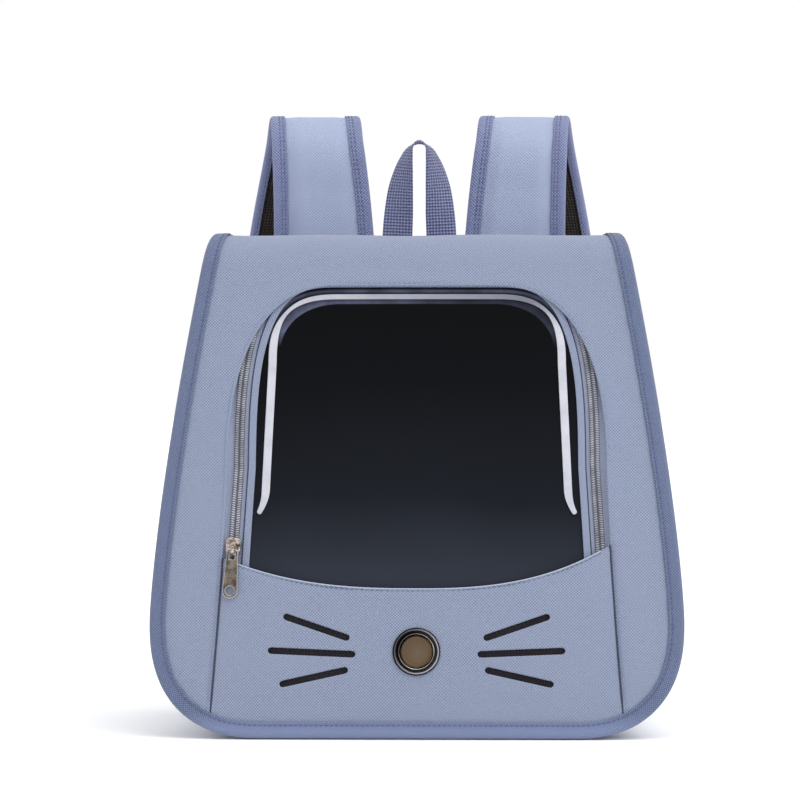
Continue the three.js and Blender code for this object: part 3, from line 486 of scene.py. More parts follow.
def stitches(name, lines, look, slot, seed):
    """Sewn thread along each line, a pair of arrays with the places and outward directions."""
    rng = np.random.default_rng(seed)
    places, axes = [], []
    for line, out in lines:
        row = resample(join([line, out], axis=1), STITCH_PITCH)
        middle, out = (row[1:, :3] + row[:-1, :3]) / 2, unit(row[1:, 3:] + row[:-1, 3:])
        along = unit(np.diff(row[:, :3], axis=0))
        across = unit(np.cross(out, along))
        along = unit(along + across * rng.normal(0, STITCH_JITTER, (len(along), 1)))
        places.append(middle)
        axes.append(np.stack([along, unit(np.cross(out, along)), out], axis=1))
    new_piece(name, beads(STITCH_SIZE, places, axes), look, slot)


def line_on(place, path, depth):
    """A flat path laid at a depth, with the outward direction at each point."""
    spot = place(*path.T, depth)
    return spot, unit(place(*path.T, depth + 1) - spot)


GAP_BLOCK = 1500


def segment_gap(points, path, closed=False):
    """Distance of flat points from a flat path."""
    start = path if closed else path[:-1]
    step = (np.roll(path, -1, axis=0) if closed else path[1:]) - start
    gaps = []
    for block in np.array_split(points, max(len(points) // GAP_BLOCK, 1)):
        away = block[:, None, :] - start
        t = np.clip((away * step).sum(-1) / (step**2).sum(-1), 0, 1)
        gaps.append(norm(away - t[..., None] * step, axis=-1).min(axis=1))
    return join(gaps)


def inside(points, loop):
    """Whether each flat point lies within a closed loop."""
    found = np.zeros(len(points), bool)
    x, y = points.T
    for (ax, ay), (bx, by) in zip(loop, np.roll(loop, -1, axis=0)):
        if ay != by:
            found ^= ((ay > y) != (by > y)) & (x < (bx - ax) * (y - ay) / (by - ay) + ax)
    return found


EDGE_RINGS = (0.25, 0.7, 1.5, 2.6)
EDGE_SPACING, RING_SLACK = 2.2, 0.92
SAME_POINT = 1e-5


def closed_loop(path):
    path = np.asarray(path, float)
    return resample(join([path, path[:1]]), EDGE_SPACING)[:-1]


def cloth_panel(name, outer, place, thickness, spacing, relief, *dress, holes=(), front=0.0, roll=0.7):
    """Cut cloth with rolled edges: relief is how far its face stands out, dress its look, slot (not used) and
    node.
    """
    loops = [closed_loop(path) for path in (outer, *holes)]
    corners, edges, rings = [], [], []
    for loop in loops:
        first = len(corners)
        corners += loop.tolist()
        edges += [(first + k, first + (k + 1) % len(loop)) for k in range(len(loop))]

    def in_cloth(points):
        return inside(points, loops[0]) & ~np.any([inside(points, hole) for hole in loops[1:]], axis=0)

    def gap(points):
        return np.min([segment_gap(points, loop, closed=True) for loop in loops], axis=0)

    for distance in EDGE_RINGS:
        for loop in loops:
            side = left_of(unit(np.roll(loop, -1, axis=0) - np.roll(loop, 1, axis=0))) * distance
            rings += [loop + side, loop - side]
    rings = join(rings)
    (left, low), (right, high) = loops[0].min(axis=0), loops[0].max(axis=0)
    grid = []
    for row, s in enumerate(np.arange(low, high, spacing * math.sqrt(3) / 2)):
        grid.append(pairs(np.arange(left + (row % 2) * spacing / 2, right, spacing), s))
    grid = join(grid)
    depth = np.repeat(EDGE_RINGS, len(rings) // len(EDGE_RINGS))
    rings = rings[in_cloth(rings) & (gap(rings) > RING_SLACK * depth)]
    grid = grid[in_cloth(grid) & (gap(grid) > EDGE_RINGS[-1] + spacing / 3)]
    flat = [Vector(p) for p in (*corners, *rings.tolist(), *grid.tolist())]
    flat, _, triangles, *_ = delaunay_2d_cdt(flat, edges, [], 1, SAME_POINT)
    flat, triangles = np.array([p[:] for p in flat]), np.array(triangles)
    triangles = triangles[in_cloth(flat[triangles].mean(axis=1))]

    away = np.clip(gap(flat), 0, roll)
    drop = roll - np.sqrt(roll**2 - (roll - away) ** 2)
    lift = front + relief(flat)
    face = place(*flat.T, lift - drop)
    behind = place(*flat.T, lift - thickness + drop)
    count = len(flat)
    sides = join([triangles[:, [0, 1]], triangles[:, [1, 2]], triangles[:, [2, 0]]])
    lone = {tuple(side) for side in sides.tolist()}
    rim = [(a, b) for a, b in lone if (b, a) not in lone]
    faces = triangles.tolist() + (triangles[:, ::-1] + count).tolist()
    faces += [[b, a, a + count, b + count] for a, b in sorted(rim)]
    plan = join([flat, flat])[join([np.ravel(f) for f in faces]).astype(int)]
    new_piece(name, (join([face, behind]), faces, plan), *dress)


# Materials
def srgb(code):
    parts = [int(code[k : k + 2], 16) / 255 for k in (1, 3, 5)]
    return (*[c / 12.92 if c < 0.04045 else ((c + 0.055) / 1.055) ** 2.4 for c in parts], 1.0)


class Look:
    """A Principled material, with short calls for the nodes that feed it."""

    def __init__(self, name, **constants):
        self.material = bpy.data.materials.new(name)
        self.material.use_nodes = True
        self.tree = self.material.node_tree
        self.shader = self.tree.nodes["Principled BSDF"]
        for socket, value in constants.items():
            self.shader.inputs[socket.replace("_", " ")].default_value = value

    def node(self, kind, inputs, **settings):
        node = self.tree.nodes.new(f"ShaderNode{kind}")
        for key, value in settings.items():
            setattr(node, key, value)
        for key, value in inputs.items():
            if isinstance(value, bpy.types.NodeSocket):
                self.tree.links.new(value, node.inputs[key])
            else:
                node.inputs[key].default_value = value
        return node

    def math(self, operation, a, b=0.0):
        return self.node("Math", {0: a, 1: b}, operation=operation).outputs[0]

    def plus(self, a, b):
        return self.math("ADD", a, b)

    def times(self, amount, *others):
        for other in others:
            amount = self.math("MULTIPLY", amount, other)
        return amount

    def plan(self):
        """Flat cloth coordinates, in metres, as separate u and v."""
        flat = self.node("UVMap", {}, uv_map=FLAT).outputs[0]
        return self.node("SeparateXYZ", {0: flat}).outputs[:2]

    def place(self):
        return self.node("TexCoord", {}).outputs["Object"]

    def spot(self):
        return self.node("SeparateXYZ", {0: self.place()}).outputs

    def noise(self, scale, detail, roughness):
        values = {"Vector": self.place(), "Scale": scale, "Detail": detail, "Roughness": roughness}
        return self.node("TexNoise", values).outputs[0]

    def wave(self, coordinate, period):
        return self.math("SINE", self.times(coordinate, 2 * PI / period))

    def blend(self, amount, first, second):
        """A colour between two, where amount goes from 0 to 1."""
        first, second = (srgb(colour) if isinstance(colour, str) else colour for colour in (first, second))
        return self.node("Mix", {0: amount, 6: first, 7: second}, data_type="RGBA").outputs[2]

    def ramp(self, amount, stops):
        node = self.node("ValToRGB", {0: amount})
        bar = node.color_ramp.elements
        while len(bar) < len(stops):
            bar.new(1.0)
        for element, (at, code) in zip(bar, stops):
            element.position = at
            element.color = srgb(code)
        return node.outputs[0]

    def spread(self, amount, low, high, to_low=0.0, to_high=1.0):
        values = {0: amount, 1: low, 2: high, 3: to_low, 4: to_high}
        return self.node("MapRange", values).outputs[0]

    def finish(self, colour, rough, height, relief):
        """Feeds the shader; rough may be None, and height stands out by relief in metres."""
        bump = self.node("Bump", {"Height": height, "Distance": relief, "Strength": 1.0}).outputs[0]
        for socket, value in (("Base Color", colour), ("Roughness", rough), ("Normal", bump)):
            if value is not None:
                self.tree.links.new(value, self.shader.inputs[socket])
        return self.material


# Noises: scale per metre, detail and roughness
SLUB, FADING, WEAR = (700.0, 2.0, 0.6), (7.0, 4.0, 0.55), (45.0, 2.0, 0.6)
YARN_WEAR, METAL_GRAIN, RING_STAIN = (60.0, 2.0, 0.5), (2600.0, 2.0, 0.5), (140.0, 4.0, 0.6)
REFLECTION_NOISE, SHADE_WOBBLE, SMEAR, DIMPLES = (60.0, 3.0, 0.6), (6.0, 2.0, 0.5), (30.0, 3.0, 0.5), (14.0, 1.0, 0.5)
CLOUD, PLASTIC_GRAIN, MOTTLE = (70.0, 3.0, 0.5), (1800.0, 3.0, 0.6), (90.0, 3.0, 0.5)
PLATE_STAIN_AND_GLINT = (4.0, 0.65)
# Roughness from the smoothest to the roughest spots, and relief in metres
CLOTH_ROUGH, FILM_ROUGH, STRIP_ROUGH, PLASTIC_ROUGH = (0.78, 0.95), (0.1, 0.2), (0.22, 0.4), (0.4, 0.62)
NET_RELIEF, FILM_RELIEF, STRIP_RELIEF, PLASTIC_RELIEF = 0.0006, 0.0012, 0.0004, 0.00008
PLATE_RELIEF, RING_RELIEF, PLATE_ROUGHER, RING_ROUGHER = 0.00004, 0.00003, 0.2, 0.15
# Ranges that a look spreads: from and to, and then the amounts there if they aren't 0 and 1
MIDDLE = (0.3, 0.7)
WEAVE_SPAN, SLUB_SPAN, SLUB_HEIGHT = (-0.8, 0.8), (-0.2, 0.2), 1.4
FADED = (0.16, 0.38, 0.0, 0.4)
FOOT_FLOOR_LIGHT = (0.007, 0.02, 0.6, 0.0)
YARN, YARN_SHADE = (0.2, 0.55), (0.3, 0.7, 0.6, 1.0)
STAIN_AND_GLINT_SPAN, METAL_SPAN = (0.4, 0.62), (0.6, 1.4)
STRIP_SHADE_HEIGHT, STRIP_SHADE_ACROSS = (0.314, 0.334), (-0.1, 0.08, 0.15, 1.0)
REFLECTION_INNER = ((1.0, 1.04), (1.0, 1.45, 1.0, 0.3))
REFLECTION_OUTER, REFLECTION_ACROSS = (0.98, 1.02, 1.0, 0.0), (-0.06, 0.03, 1.0, 0.3)
REFLECTION_LINE = ((1.16, 1.25, 0.2, 1.0), (1.29, 1.38, 1.0, 0.1), (1.0, 1.02, 0.0, 0.8))
REFLECTION_HEIGHT, REFLECTION_STREAKS = (0.304, 0.316), (0.35, 0.65, 0.55, 1.0)
FILM_HEIGHT, FILM_SHADE_WOBBLE = (0.1, 0.36), 0.05
RING_UNEVEN = 0.0008


def woven(name, light, dark, wear_and_highlight, thread, relief, foot=None, crossing="MULTIPLY"):
    """Woven cloth: threads that cross over and under, soft uneven fading, and, if it has one, a foot painted
    paler for the light thrown up from the floor.
    """
    look = Look(name, Sheen_Weight=0.2, Sheen_Roughness=0.45, Specular_IOR_Level=0.2)
    u, v = look.plan()
    slub = look.math("SUBTRACT", look.noise(*SLUB), 0.5)
    height = look.math(crossing, look.wave(u, thread * MM), look.wave(v, thread * MM))
    height = look.plus(height, look.times(slub, SLUB_HEIGHT))
    weave = look.blend(look.spread(height, *WEAVE_SPAN), dark, light)
    fading = look.times(look.noise(*FADING), look.noise(*WEAR))
    colour = look.blend(look.spread(fading, *FADED), weave, wear_and_highlight)
    if foot:
        # Painted light: the foot is painted paler near the floor, for the light that the floor throws up.
        colour = look.blend(look.spread(look.spot()[2], *FOOT_FLOOR_LIGHT), colour, foot)
    rough = look.spread(slub, *SLUB_SPAN, *CLOTH_ROUGH)
    return look.finish(colour, rough, height, relief * MM)


def netting(name, light, dark, cell):
    look = Look(name, Roughness=0.9, Sheen_Weight=0.15, Specular_IOR_Level=0.15)
    u, v = look.plan()
    spot = look.node("CombineXYZ", {0: u, 1: v}).outputs[0]
    values = {"Vector": spot, "Scale": 1 / cell, "Randomness": 0.15}
    hole = look.node("TexVoronoi", values, voronoi_dimensions="2D").outputs["Distance"]
    yarn = look.spread(hole, *YARN)
    shade = look.times(yarn, look.spread(look.noise(*YARN_WEAR), *YARN_SHADE))
    return look.finish(look.blend(shade, dark, light), None, yarn, NET_RELIEF)


def metal_finish(look, colour, stain_and_glint, roughness, rougher, relief):
    fine = look.noise(*METAL_GRAIN)
    rough = look.spread(look.plus(stain_and_glint, fine), *METAL_SPAN, roughness, roughness + rougher)
    return look.finish(colour, rough, fine, relief)


def plated(name, light, dark, wear_and_highlight, roughness, grain):
    """Plated metal with painted highlights on its rounded edges, where the plan's u is 1 mm and 0 elsewhere;
    its mottling is partly tarnish and partly painted highlights and dark reflections.
    """
    look = Look(name, Metallic=1.0)
    stain_and_glint = look.noise(grain, *PLATE_STAIN_AND_GLINT)
    face = look.blend(look.spread(stain_and_glint, *STAIN_AND_GLINT_SPAN), light, dark)
    colour = look.blend(look.spread(look.plan()[0], 0.0, MM), face, wear_and_highlight)
    return metal_finish(look, colour, stain_and_glint, roughness, PLATE_ROUGHER, PLATE_RELIEF)


def ringed(name, stops, inner, outer, roughness, shaded_side, lit_side):
    """Turned metal with rings: the plan's u is the radius, and v is 1 mm on the side painted lighter as if
    lit there, and -1 mm on the side painted in shade.
    """
    look = Look(name, Metallic=1.0)
    radius, side = look.plan()
    stain_and_glint = look.noise(*RING_STAIN)
    uneven = look.times(look.math("SUBTRACT", stain_and_glint, 0.5), RING_UNEVEN)
    ring = look.ramp(look.spread(look.plus(radius, uneven), inner * MM, outer * MM), stops)
    side_light = look.spread(side, -MM, MM, shaded_side, lit_side)
    colour = look.node("VectorMath", {0: ring, "Scale": side_light}, operation="SCALE").outputs[0]
    return metal_finish(look, colour, stain_and_glint, roughness, RING_ROUGHER, RING_RELIEF)


def past_arch(look, arch):
    """Over 1 outside an arch of the window and under 1 inside it, from the plan's x and s."""
    u, v = look.plan()
    shares = []
    for at, low, high in ((look.math("ABSOLUTE", u), ARCH_FLAT, arch.half), (v, arch.start, arch.top)):
        share = look.math("DIVIDE", look.math("SUBTRACT", at, low * MM), (high - low) * MM)
        shares.append(look.math("POWER", look.math("MAXIMUM", share, 0.0), arch.power))
    return look.plus(*shares)


def crease_reflection(look):
    """Painted reflection where the film is creased: from a rounder arch to the strip, most at the left, and a
    painted highlight on a line above.
    """
    inner, strip = past_arch(look, REFLECTION_ARCH), past_arch(look, STRIP_ARCH)
    u, v = look.plan()
    band = [look.spread(inner, *part) for part in REFLECTION_INNER]
    band = look.times(*band, look.spread(strip, *REFLECTION_OUTER), look.spread(u, *REFLECTION_ACROSS))
    line = look.times(*[look.spread(strip, *part) for part in REFLECTION_LINE])
    streaks = look.spread(look.noise(*REFLECTION_NOISE), *REFLECTION_STREAKS)
    return look.times(look.plus(band, line), look.spread(v, *REFLECTION_HEIGHT), streaks)


def window_film(name):
    """Glossy film with the shade of the dark inside painted on it, painted lighter towards its foot, and with
    a painted reflection where it is creased.
    """
    look = Look(name, Specular_IOR_Level=0.05)
    wobble = look.times(look.math("SUBTRACT", look.noise(*SHADE_WOBBLE), 0.5), FILM_SHADE_WOBBLE)
    level = look.spread(look.plus(look.spot()[2], wobble), *FILM_HEIGHT)
    colour = look.blend(crease_reflection(look), look.ramp(level, FILM_PAINTED_SHADE), REFLECTION_COLOUR)
    rough = look.spread(look.noise(*SMEAR), *MIDDLE, *FILM_ROUGH)
    return look.finish(colour, rough, look.noise(*DIMPLES), FILM_RELIEF)


def strip_highlight(name):
    """Painted highlight: a whitish strip standing for the shine on the film's rolled edge, with painted shade
    near the top under the frame's edge, most of all towards the right.
    """
    look = Look(name, Specular_IOR_Level=0.4, Subsurface_Weight=0.1, Subsurface_Scale=0.002)
    cloud = look.noise(*CLOUD)
    highlight = look.blend(look.spread(cloud, *MIDDLE), *HIGHLIGHT_COLOURS)
    x, _, height = look.spot()
    shaded_top = look.times(look.spread(height, *STRIP_SHADE_HEIGHT), look.spread(x, *STRIP_SHADE_ACROSS))
    rough = look.spread(cloud, *MIDDLE, *STRIP_ROUGH)
    colour = look.blend(shaded_top, highlight, SHADED_TOP_COLOUR)
    return look.finish(colour, rough, cloud, STRIP_RELIEF)


def moulded(name, light, dark):
    look = Look(name, Specular_IOR_Level=0.4)
    grain = look.noise(*PLASTIC_GRAIN)
    colour = look.blend(look.spread(look.noise(*MOTTLE), *MIDDLE), dark, light)
    rough = look.spread(grain, *MIDDLE, *PLASTIC_ROUGH)
    return look.finish(colour, rough, grain, PLASTIC_RELIEF)


# Painted shade of the inside, from the film's foot up: lighter at the foot, nearly black at the top.
FILM_PAINTED_SHADE = [(0.0, "#31353f"), (0.3, "#16191f"), (0.65, "#0b0c10"), (1.0, "#070809")]
# Eyelet ring bands by radius: painted highlights on the rounded lips and painted dark reflections between
# them.
RING_SHADES = [(0.0, "#d2ccc4"), (0.13, "#b5afa8"), (0.2, "#1d1c1e"), (0.62, "#29282b"), (0.68, "#8b8b90"),
               (0.79, "#75757a"), (0.85, "#1f1e21"), (1.0, "#151518")]
PLATE_SHADES = [(0.0, "#6a5c4e"), (0.6, "#665645"), (0.9, "#5e4e3d"), (0.95, "#2c241b"), (1.0, "#9a9184")]
# Painted reflection colour on the film's crease, the strip's painted shade at the top, and the strip's
# painted highlight colours.
REFLECTION_COLOUR, SHADED_TOP_COLOUR, HIGHLIGHT_COLOURS = "#595d74", "#6c707d", ("#c2c3cc", "#adafba")
# Looks, each with its function. Cloths: light, dark and worn colours, thread spacing, relief, and the colour
# of a foot painted paler by the floor's light, or a crossing, if special. Nets and plastics: light and dark
# colours. Metals: colours and roughness.
LOOK_ROWS = {
    "cloth": (woven, "#949db5", "#6d778d", "#858ea5", 2.4, 0.2),
    # pad: a lighter copy of the body cloth, painted lighter for the light that falls on the straps.
    "pad": (woven, "#a7b1cb", "#8f99b3", "#9ba5bf", 2.4, 0.2),
    "binding": (woven, "#7a85a3", "#4d5979", "#667190", 2.2, 0.4, "#8996bb"),
    # strap_binding: painted lighter than the body's binding, for the light that falls on the straps.
    "strap_binding": (woven, "#979fc1", "#59618a", "#7a82a4", 2.6, 0.4),
    "webbing": (woven, "#969bbe", "#595e85", "#71769a", 2.6, 0.5, None, "ADD"),
    "zip_tape": (woven, "#a8b0c5", "#7b84a0", "#949cb2", 1.7, 0.3),
    "thread": (woven, "#8b96b2", "#6b7692", "#7c87a3", 0.8, 0.1),
    "binding_thread": (woven, "#5c688e", "#414d74", "#515d83", 0.8, 0.1),
    "strap_thread": (woven, "#666e92", "#4d5579", "#5a6286", 0.8, 0.1),
    # rim: a lighter copy of the cloth, the painted highlight on the lower cloth's folded top edge.
    "rim": (woven, "#c3cce2", "#a2abc1", "#b3bcd2", 1.2, 0.1),
    "edge_thread": (woven, "#69748f", "#4d5873", "#5d6884", 0.8, 0.1),
    "seam": (woven, "#3d4460", "#1f2440", "#2e3450", 0.9, 0.1),
    "mesh": (netting, "#453d3a", "#0f0d10", 0.0024),
    "whisker_net": (netting, "#322f37", "#121015", 0.0014),
    "film": (window_film,),
    "strip": (strip_highlight,),
    "zip_chain": (moulded, "#b6b8c2", "#83858f"),
    "zip_cord": (moulded, "#50535e", "#3a3d47"),
    "plastic": (moulded, "#565b74", "#42475c"),
    # nickel: mottling partly tarnish and partly painted reflections; its third colour is the painted
    # highlight on its edges.
    "nickel": (plated, "#857c73", "#544d47", "#ddd7cf", 0.24, 160.0),
    # slider: its strong light and dark mottling is painted highlights and painted dark reflections; its third
    # colour is the painted edge highlight.
    "slider": (plated, "#d8c9c1", "#3a302c", "#eee8e2", 0.2, 300.0),
    "gunmetal": (ringed, RING_SHADES, 12.6, 18.2, 0.16, 0.3, 1.9),
    "bronze": (ringed, PLATE_SHADES, 0.0, 12.4, 0.3, 0.97, 1.03),
}
LOOKS = {name: make(name, *row) for name, (make, *row) in LOOK_ROWS.items()}


# Front cloth
FRAME_SPACING, LOWER_SPACING, NET_SPACING, FILM_SPACING = 4.5, 3.6, 3.0, 5.0
HEM_STITCH, HEM_WIDTH, HEM_PROUD, HEM_EASE, HEM_PRESSED = 2.4, 7.0, 0.35, 1.5, 0.35
HEM_DROOP, DROOP_WIDTH = 0.5, 2.2
CALM_WIDTH = 14.0
ON_CLOTH = 0.05
ARCH_CLEAR = 0.3
SEAM_VALLEY, SEAM_REACH = 0.9, 5.0
TOP_STITCH, TOP_STITCH_DEPTH, TOP_TRIM = 1.9, -0.15, 4
LOWER_PRESSED, LOWER_REACH, LOWER_ROLL, LOWER_SAMPLES = 0.7, 3.0, 0.8, 161
SEAT_EASE, HOLE_STEPS, CAPSULE_STEPS = 10.0, 48, 7
RIM_HALF, RIM_INSET, RIM_THICK = 0.5, 0.3, 0.6
LEG_SEAM_HALF, LEG_SEAM_FRONT, LEG_SEAM_BACK, LEG_SEAM_FOOT = 0.75, 0.15, -1.6, 6.0


def hem(gap, sewn, pressed, droop):
    """A folded edge stands a little proud, droops at its rim and is pressed in along its sewn line."""
    proud = HEM_PROUD * (1 - ease((gap - HEM_WIDTH) / HEM_EASE)) - droop * (1 - ease(gap / DROOP_WIDTH))
    return proud - pressed * bell((gap - sewn) / SEWN_WIDTH)


def calm_edge(gap):
    """0 under the binding, 1 well inside it."""
    return ease((gap - BINDING_WIDTH) / CALM_WIDTH)


def frame_cloth():
    edge = OUTLINE + EDGE_INSET * OUTLINE_IN
    kept = np.abs(edge[:, 0]) > FRAME_ARCH.reach(edge[:, 1]) + ARCH_CLEAR
    left, right = edge[kept & (edge[:, 0] < 0)], edge[kept & (edge[:, 0] > 0)]
    top = pairs(spread(right[-1, 0], left[0, 0], PATH_SPACING)[1:-1], TOP_END)

    def relief(flat):
        x, s = flat.T
        gap = segment_gap(flat, ARCH)
        valley = SEAM_VALLEY * bell(gap / SEAM_REACH) * ease((sag_height(x) - s) / SEAM_REACH)
        loose = (slack("frame", x, s) - valley) * calm_edge(segment_gap(flat, OUTLINE))
        return loose + hem(gap, HEM_STITCH, HEM_PRESSED, HEM_DROOP)

    loop = join([left, ARCH, right, top])
    cloth_panel("frame_cloth", loop, panel_place, CLOTH, FRAME_SPACING, relief,
                "cloth", "cloth", "front_frame_panel")
    seam = ARCH + HEM_STITCH * path_normals(ARCH)
    stitches("frame_stitches", [line_on(panel_place, seam, ON_CLOTH)], "thread", "cloth", seed=11)


def capsule(ax, ay, bx, by):
    """Outline of a whisker cut."""
    turn = math.atan2(by - ay, bx - ax)
    bend = np.linspace(0, PI, CAPSULE_STEPS)
    ends = []
    for middle, start in (((ax, ay), turn + PI / 2), ((bx, by), turn - PI / 2)):
        ends.append(middle + circle(WHISKER_WIDTH / 2, start + bend))
    return join(ends)


def lower_cloth():
    def reach(s):
        return FRAME_ARCH.reach(s) - SEAM_GAP

    def side_line(side, start, end):
        s = spread(start, end, ARCH_SPACING)[1:-1]
        return pairs(side * reach(s), s)

    u = np.linspace(-1, 1, LOWER_SAMPLES)
    low = outline_bottom(u * FRAME_ARCH.reach(0.0)) + EDGE_INSET
    high = sag_height(u * FRAME_ARCH.half)
    bottom, top = pairs(u * reach(low), low), pairs(u * reach(high), high)
    right, left = side_line(1, low[-1], high[-1]), side_line(-1, high[0], low[0])
    seams = [join([bottom[-1:], right, top[-1:]]), join([top[:1], left, bottom[:1]])]
    holes = [capsule(side * ax, ay, side * bx, by) for _, side in SIDES for ax, ay, bx, by in WHISKERS]
    holes.append(circle(EYELET_HOLE, full_turn(HOLE_STEPS)) + (0, EYELET_S))

    def relief(flat):
        x, s = flat.T
        seat = ease((np.hypot(x, s - EYELET_S) - EYELET_SEAT) / SEAT_EASE)
        pressed = sum(bell(segment_gap(flat, seam) / LOWER_REACH) for seam in seams)
        loose = slack("lower", x, s) * seat - LOWER_PRESSED * pressed
        edge = hem(segment_gap(flat, top), TOP_STITCH, LOWER_PRESSED, 0.0)
        return edge + loose * calm_edge(segment_gap(flat, OUTLINE))

    loop = join([bottom, right, top[::-1], left])
    cloth_panel("lower_cloth", loop, panel_place, CLOTH, LOWER_SPACING, relief,
                "cloth", "cloth", "lower_front_panel", holes=holes, roll=LOWER_ROLL)
    # A pale cord along the folded top edge: a painted highlight where the fold catches the light.
    rim = resample(top[TOP_TRIM:-TOP_TRIM], ARCH_SPACING)
    section = tape_section(-RIM_HALF - RIM_INSET, RIM_HALF - RIM_INSET, RIM_THICK, -RIM_THICK)
    tape("lower_edge_highlight", rim, section, "rim", "cloth")
    sewn = line_on(panel_place, rim - TOP_STITCH * path_normals(rim), TOP_STITCH_DEPTH)
    stitches("lower_stitches", [sewn], "edge_thread", "cloth", seed=12)


def leg_seams():
    """Dark cord along the sewn seam between each leg of the frame cloth and the lower cloth: painted shade in
    the gap there.
    """
    section = tape_section(-LEG_SEAM_HALF, LEG_SEAM_HALF, LEG_SEAM_FRONT, LEG_SEAM_BACK)
    for name, side in SIDES:
        s = spread(FOOT + LEG_SEAM_FOOT, float(sag_height(side * FRAME_ARCH.half)), ARCH_SPACING)
        path = pairs(side * (FRAME_ARCH.reach(s) - SEAM_GAP / 2), s)
        tape(f"leg_seam_{name}", path, section, "seam", "cloth")


def whisker_nets():
    for name, side in SIDES:
        outline = [(side * NET_X[i], NET_S[k]) for i, k in ((0, 0), (1, 0), (1, 1), (0, 1))]
        cloth_panel(f"whisker_net_{name}", outline, panel_place, NET_CLOTH, NET_SPACING,
                    lambda flat: slack("net", *flat.T), "whisker_net", "mesh", f"whisker_mesh_{name}",
                    front=FLANGE_FRONT, roll=NET_ROLL)


BINDING_STITCH, BINDING_WAVE, BINDING_TRIM = 9.6, 0.22, 2
BINDING_HIGH = SEAM_GAP + BINDING_CLOTH
TAB_HALF, TAB_INSET, TAB_THICK, TAB_REACH, TAB_SPACING, TAB_STEPS = 6.2, 5.2, 1.0, 5.0, 0.8, 10
RIGHTWARD = np.array([1.0, 0.0, 0.0])


def edge_binding(node, path, normals, place, seed):
    low = FLANGE_BACK - BINDING_HIGH
    section = fold_section(BINDING_WIDTH, BINDING_BACK_WIDTH, BINDING_HIGH, low, [BINDING_STITCH])
    rings = sweep(path, normals, section, place, BINDING_WAVE, seed)
    new_piece(f"{node}_tape", loft(rings), "binding", "binding", node)
    seam = (path + BINDING_STITCH * normals)[BINDING_TRIM:-BINDING_TRIM]
    lines = [line_on(place, seam, BINDING_HIGH)]
    stitches(f"{node}_tape_stitches", lines, "binding_thread", "binding", seed=seed)


def corner_tabs():
    """Tape folded over each upper back corner, where the two bindings end."""
    lift = BINDING_HIGH + TAB_THICK / 4
    section = flat_section(TAB_HALF, TAB_THICK)
    for (name, _), end in zip(SIDES, (0, -1)):
        above = OUTLINE[end] + OUTLINE_IN[end] * TAB_INSET
        behind = BACK[end] + BACK_IN[end] * TAB_INSET
        route = [panel_place(above[0], above[1] - TAB_REACH, lift), panel_place(*above, lift),
                 back_place(*behind, lift), back_place(behind[0], behind[1] - TAB_REACH, lift)]
        line = resample(smooth_route(route, TAB_STEPS), TAB_SPACING)
        new_piece(f"corner_tab_{name}", flat_ribbon(line, RIGHTWARD, section), "binding", "binding")


# Gusset and back
WALL_COLUMNS, WALL_DEPTH = 36, 190.0
BASE_EASE, WRINKLE_EASE = 0.1, 0.25
LEVEL, FULL_SWELL = 0.01, 0.99


def gusset(name, node, rows):
    """Cloth between the front and back outlines, along the given points of the outline."""
    front, front_in, back, back_in = OUTLINE[rows], OUTLINE_IN[rows], BACK[rows], BACK_IN[rows]
    blend = np.clip(front[:, 1] / CORNER_BLEND, 0, 1)[:, None]
    v = np.linspace(0, 1, WALL_COLUMNS + 1)[None, :]
    inward = np.minimum(v, 1 - v)
    swell = ease(inward / BASE_EASE) * (1 - blend) + np.sin(PI * v) * blend
    bulge = (GUSSET_INSET + (SIDE_PULL_IN - GUSSET_INSET) * blend) * swell
    bulge = bulge + blend * ease(inward / WRINKLE_EASE) * slack("gusset", run_length(front), WALL_DEPTH * v)
    skins = []
    for inner, depth in ((0.0, FLANGE_BACK), (GUSSET_CLOTH, FLANGE_FRONT)):
        lines = []
        for path, normals, place in ((front, front_in, panel_place), (back, back_in, back_place)):
            lines += [place(*(path + normals * at).T, depth) for at in (FLANGE_INSET, GUSSET_INSET + inner)]
        front_edge, front_fold, back_edge, back_fold = (line[:, None] for line in lines)
        wall = front_fold + (back_fold - front_fold) * v[..., None]
        wall[..., 0] -= front_in[:, None, 0] * bulge
        wall[..., 2] -= front_in[:, None, 1] * bulge
        flat = (front[:, 1] < LEVEL)[:, None] & (swell > FULL_SWELL)
        wall[..., 2] = np.where(flat, inner, wall[..., 2])
        skins.append(join([front_edge, wall, back_edge], axis=1))
    rings = join([skins[0], skins[1][:, ::-1]], axis=1)
    new_piece(name, loft(rings), "cloth", "cloth", node)


def body_cloth():
    x, s = OUTLINE.T
    base = (s < LEVEL) & (np.abs(x) < FLAT_HALF - SEAM_GAP)
    for name, side in SIDES:
        rows = (side * x > 0) & ~base & (s <= TOP_END - GUSSET_TOP_GAP)
        gusset(f"side_cloth_{name}", f"side_panel_{name}", rows)
    gusset("base_cloth", "base_panel", base)


# Padding of the back: how far it stands out, its seam inside the binding, and its upper edge
PADDING, PAD_SEAM, PAD_SEAM_WIDTH, PAD_SEAM_DEPTH = 3.0, 20.0, 1.6, 0.5
PAD_TOP, PAD_SETBACK, PAD_EASE, PAD_SEAM_EASE, PAD_LOOSE_EASE = 340.0, 2.0, 26.0, 6.0, 20.0


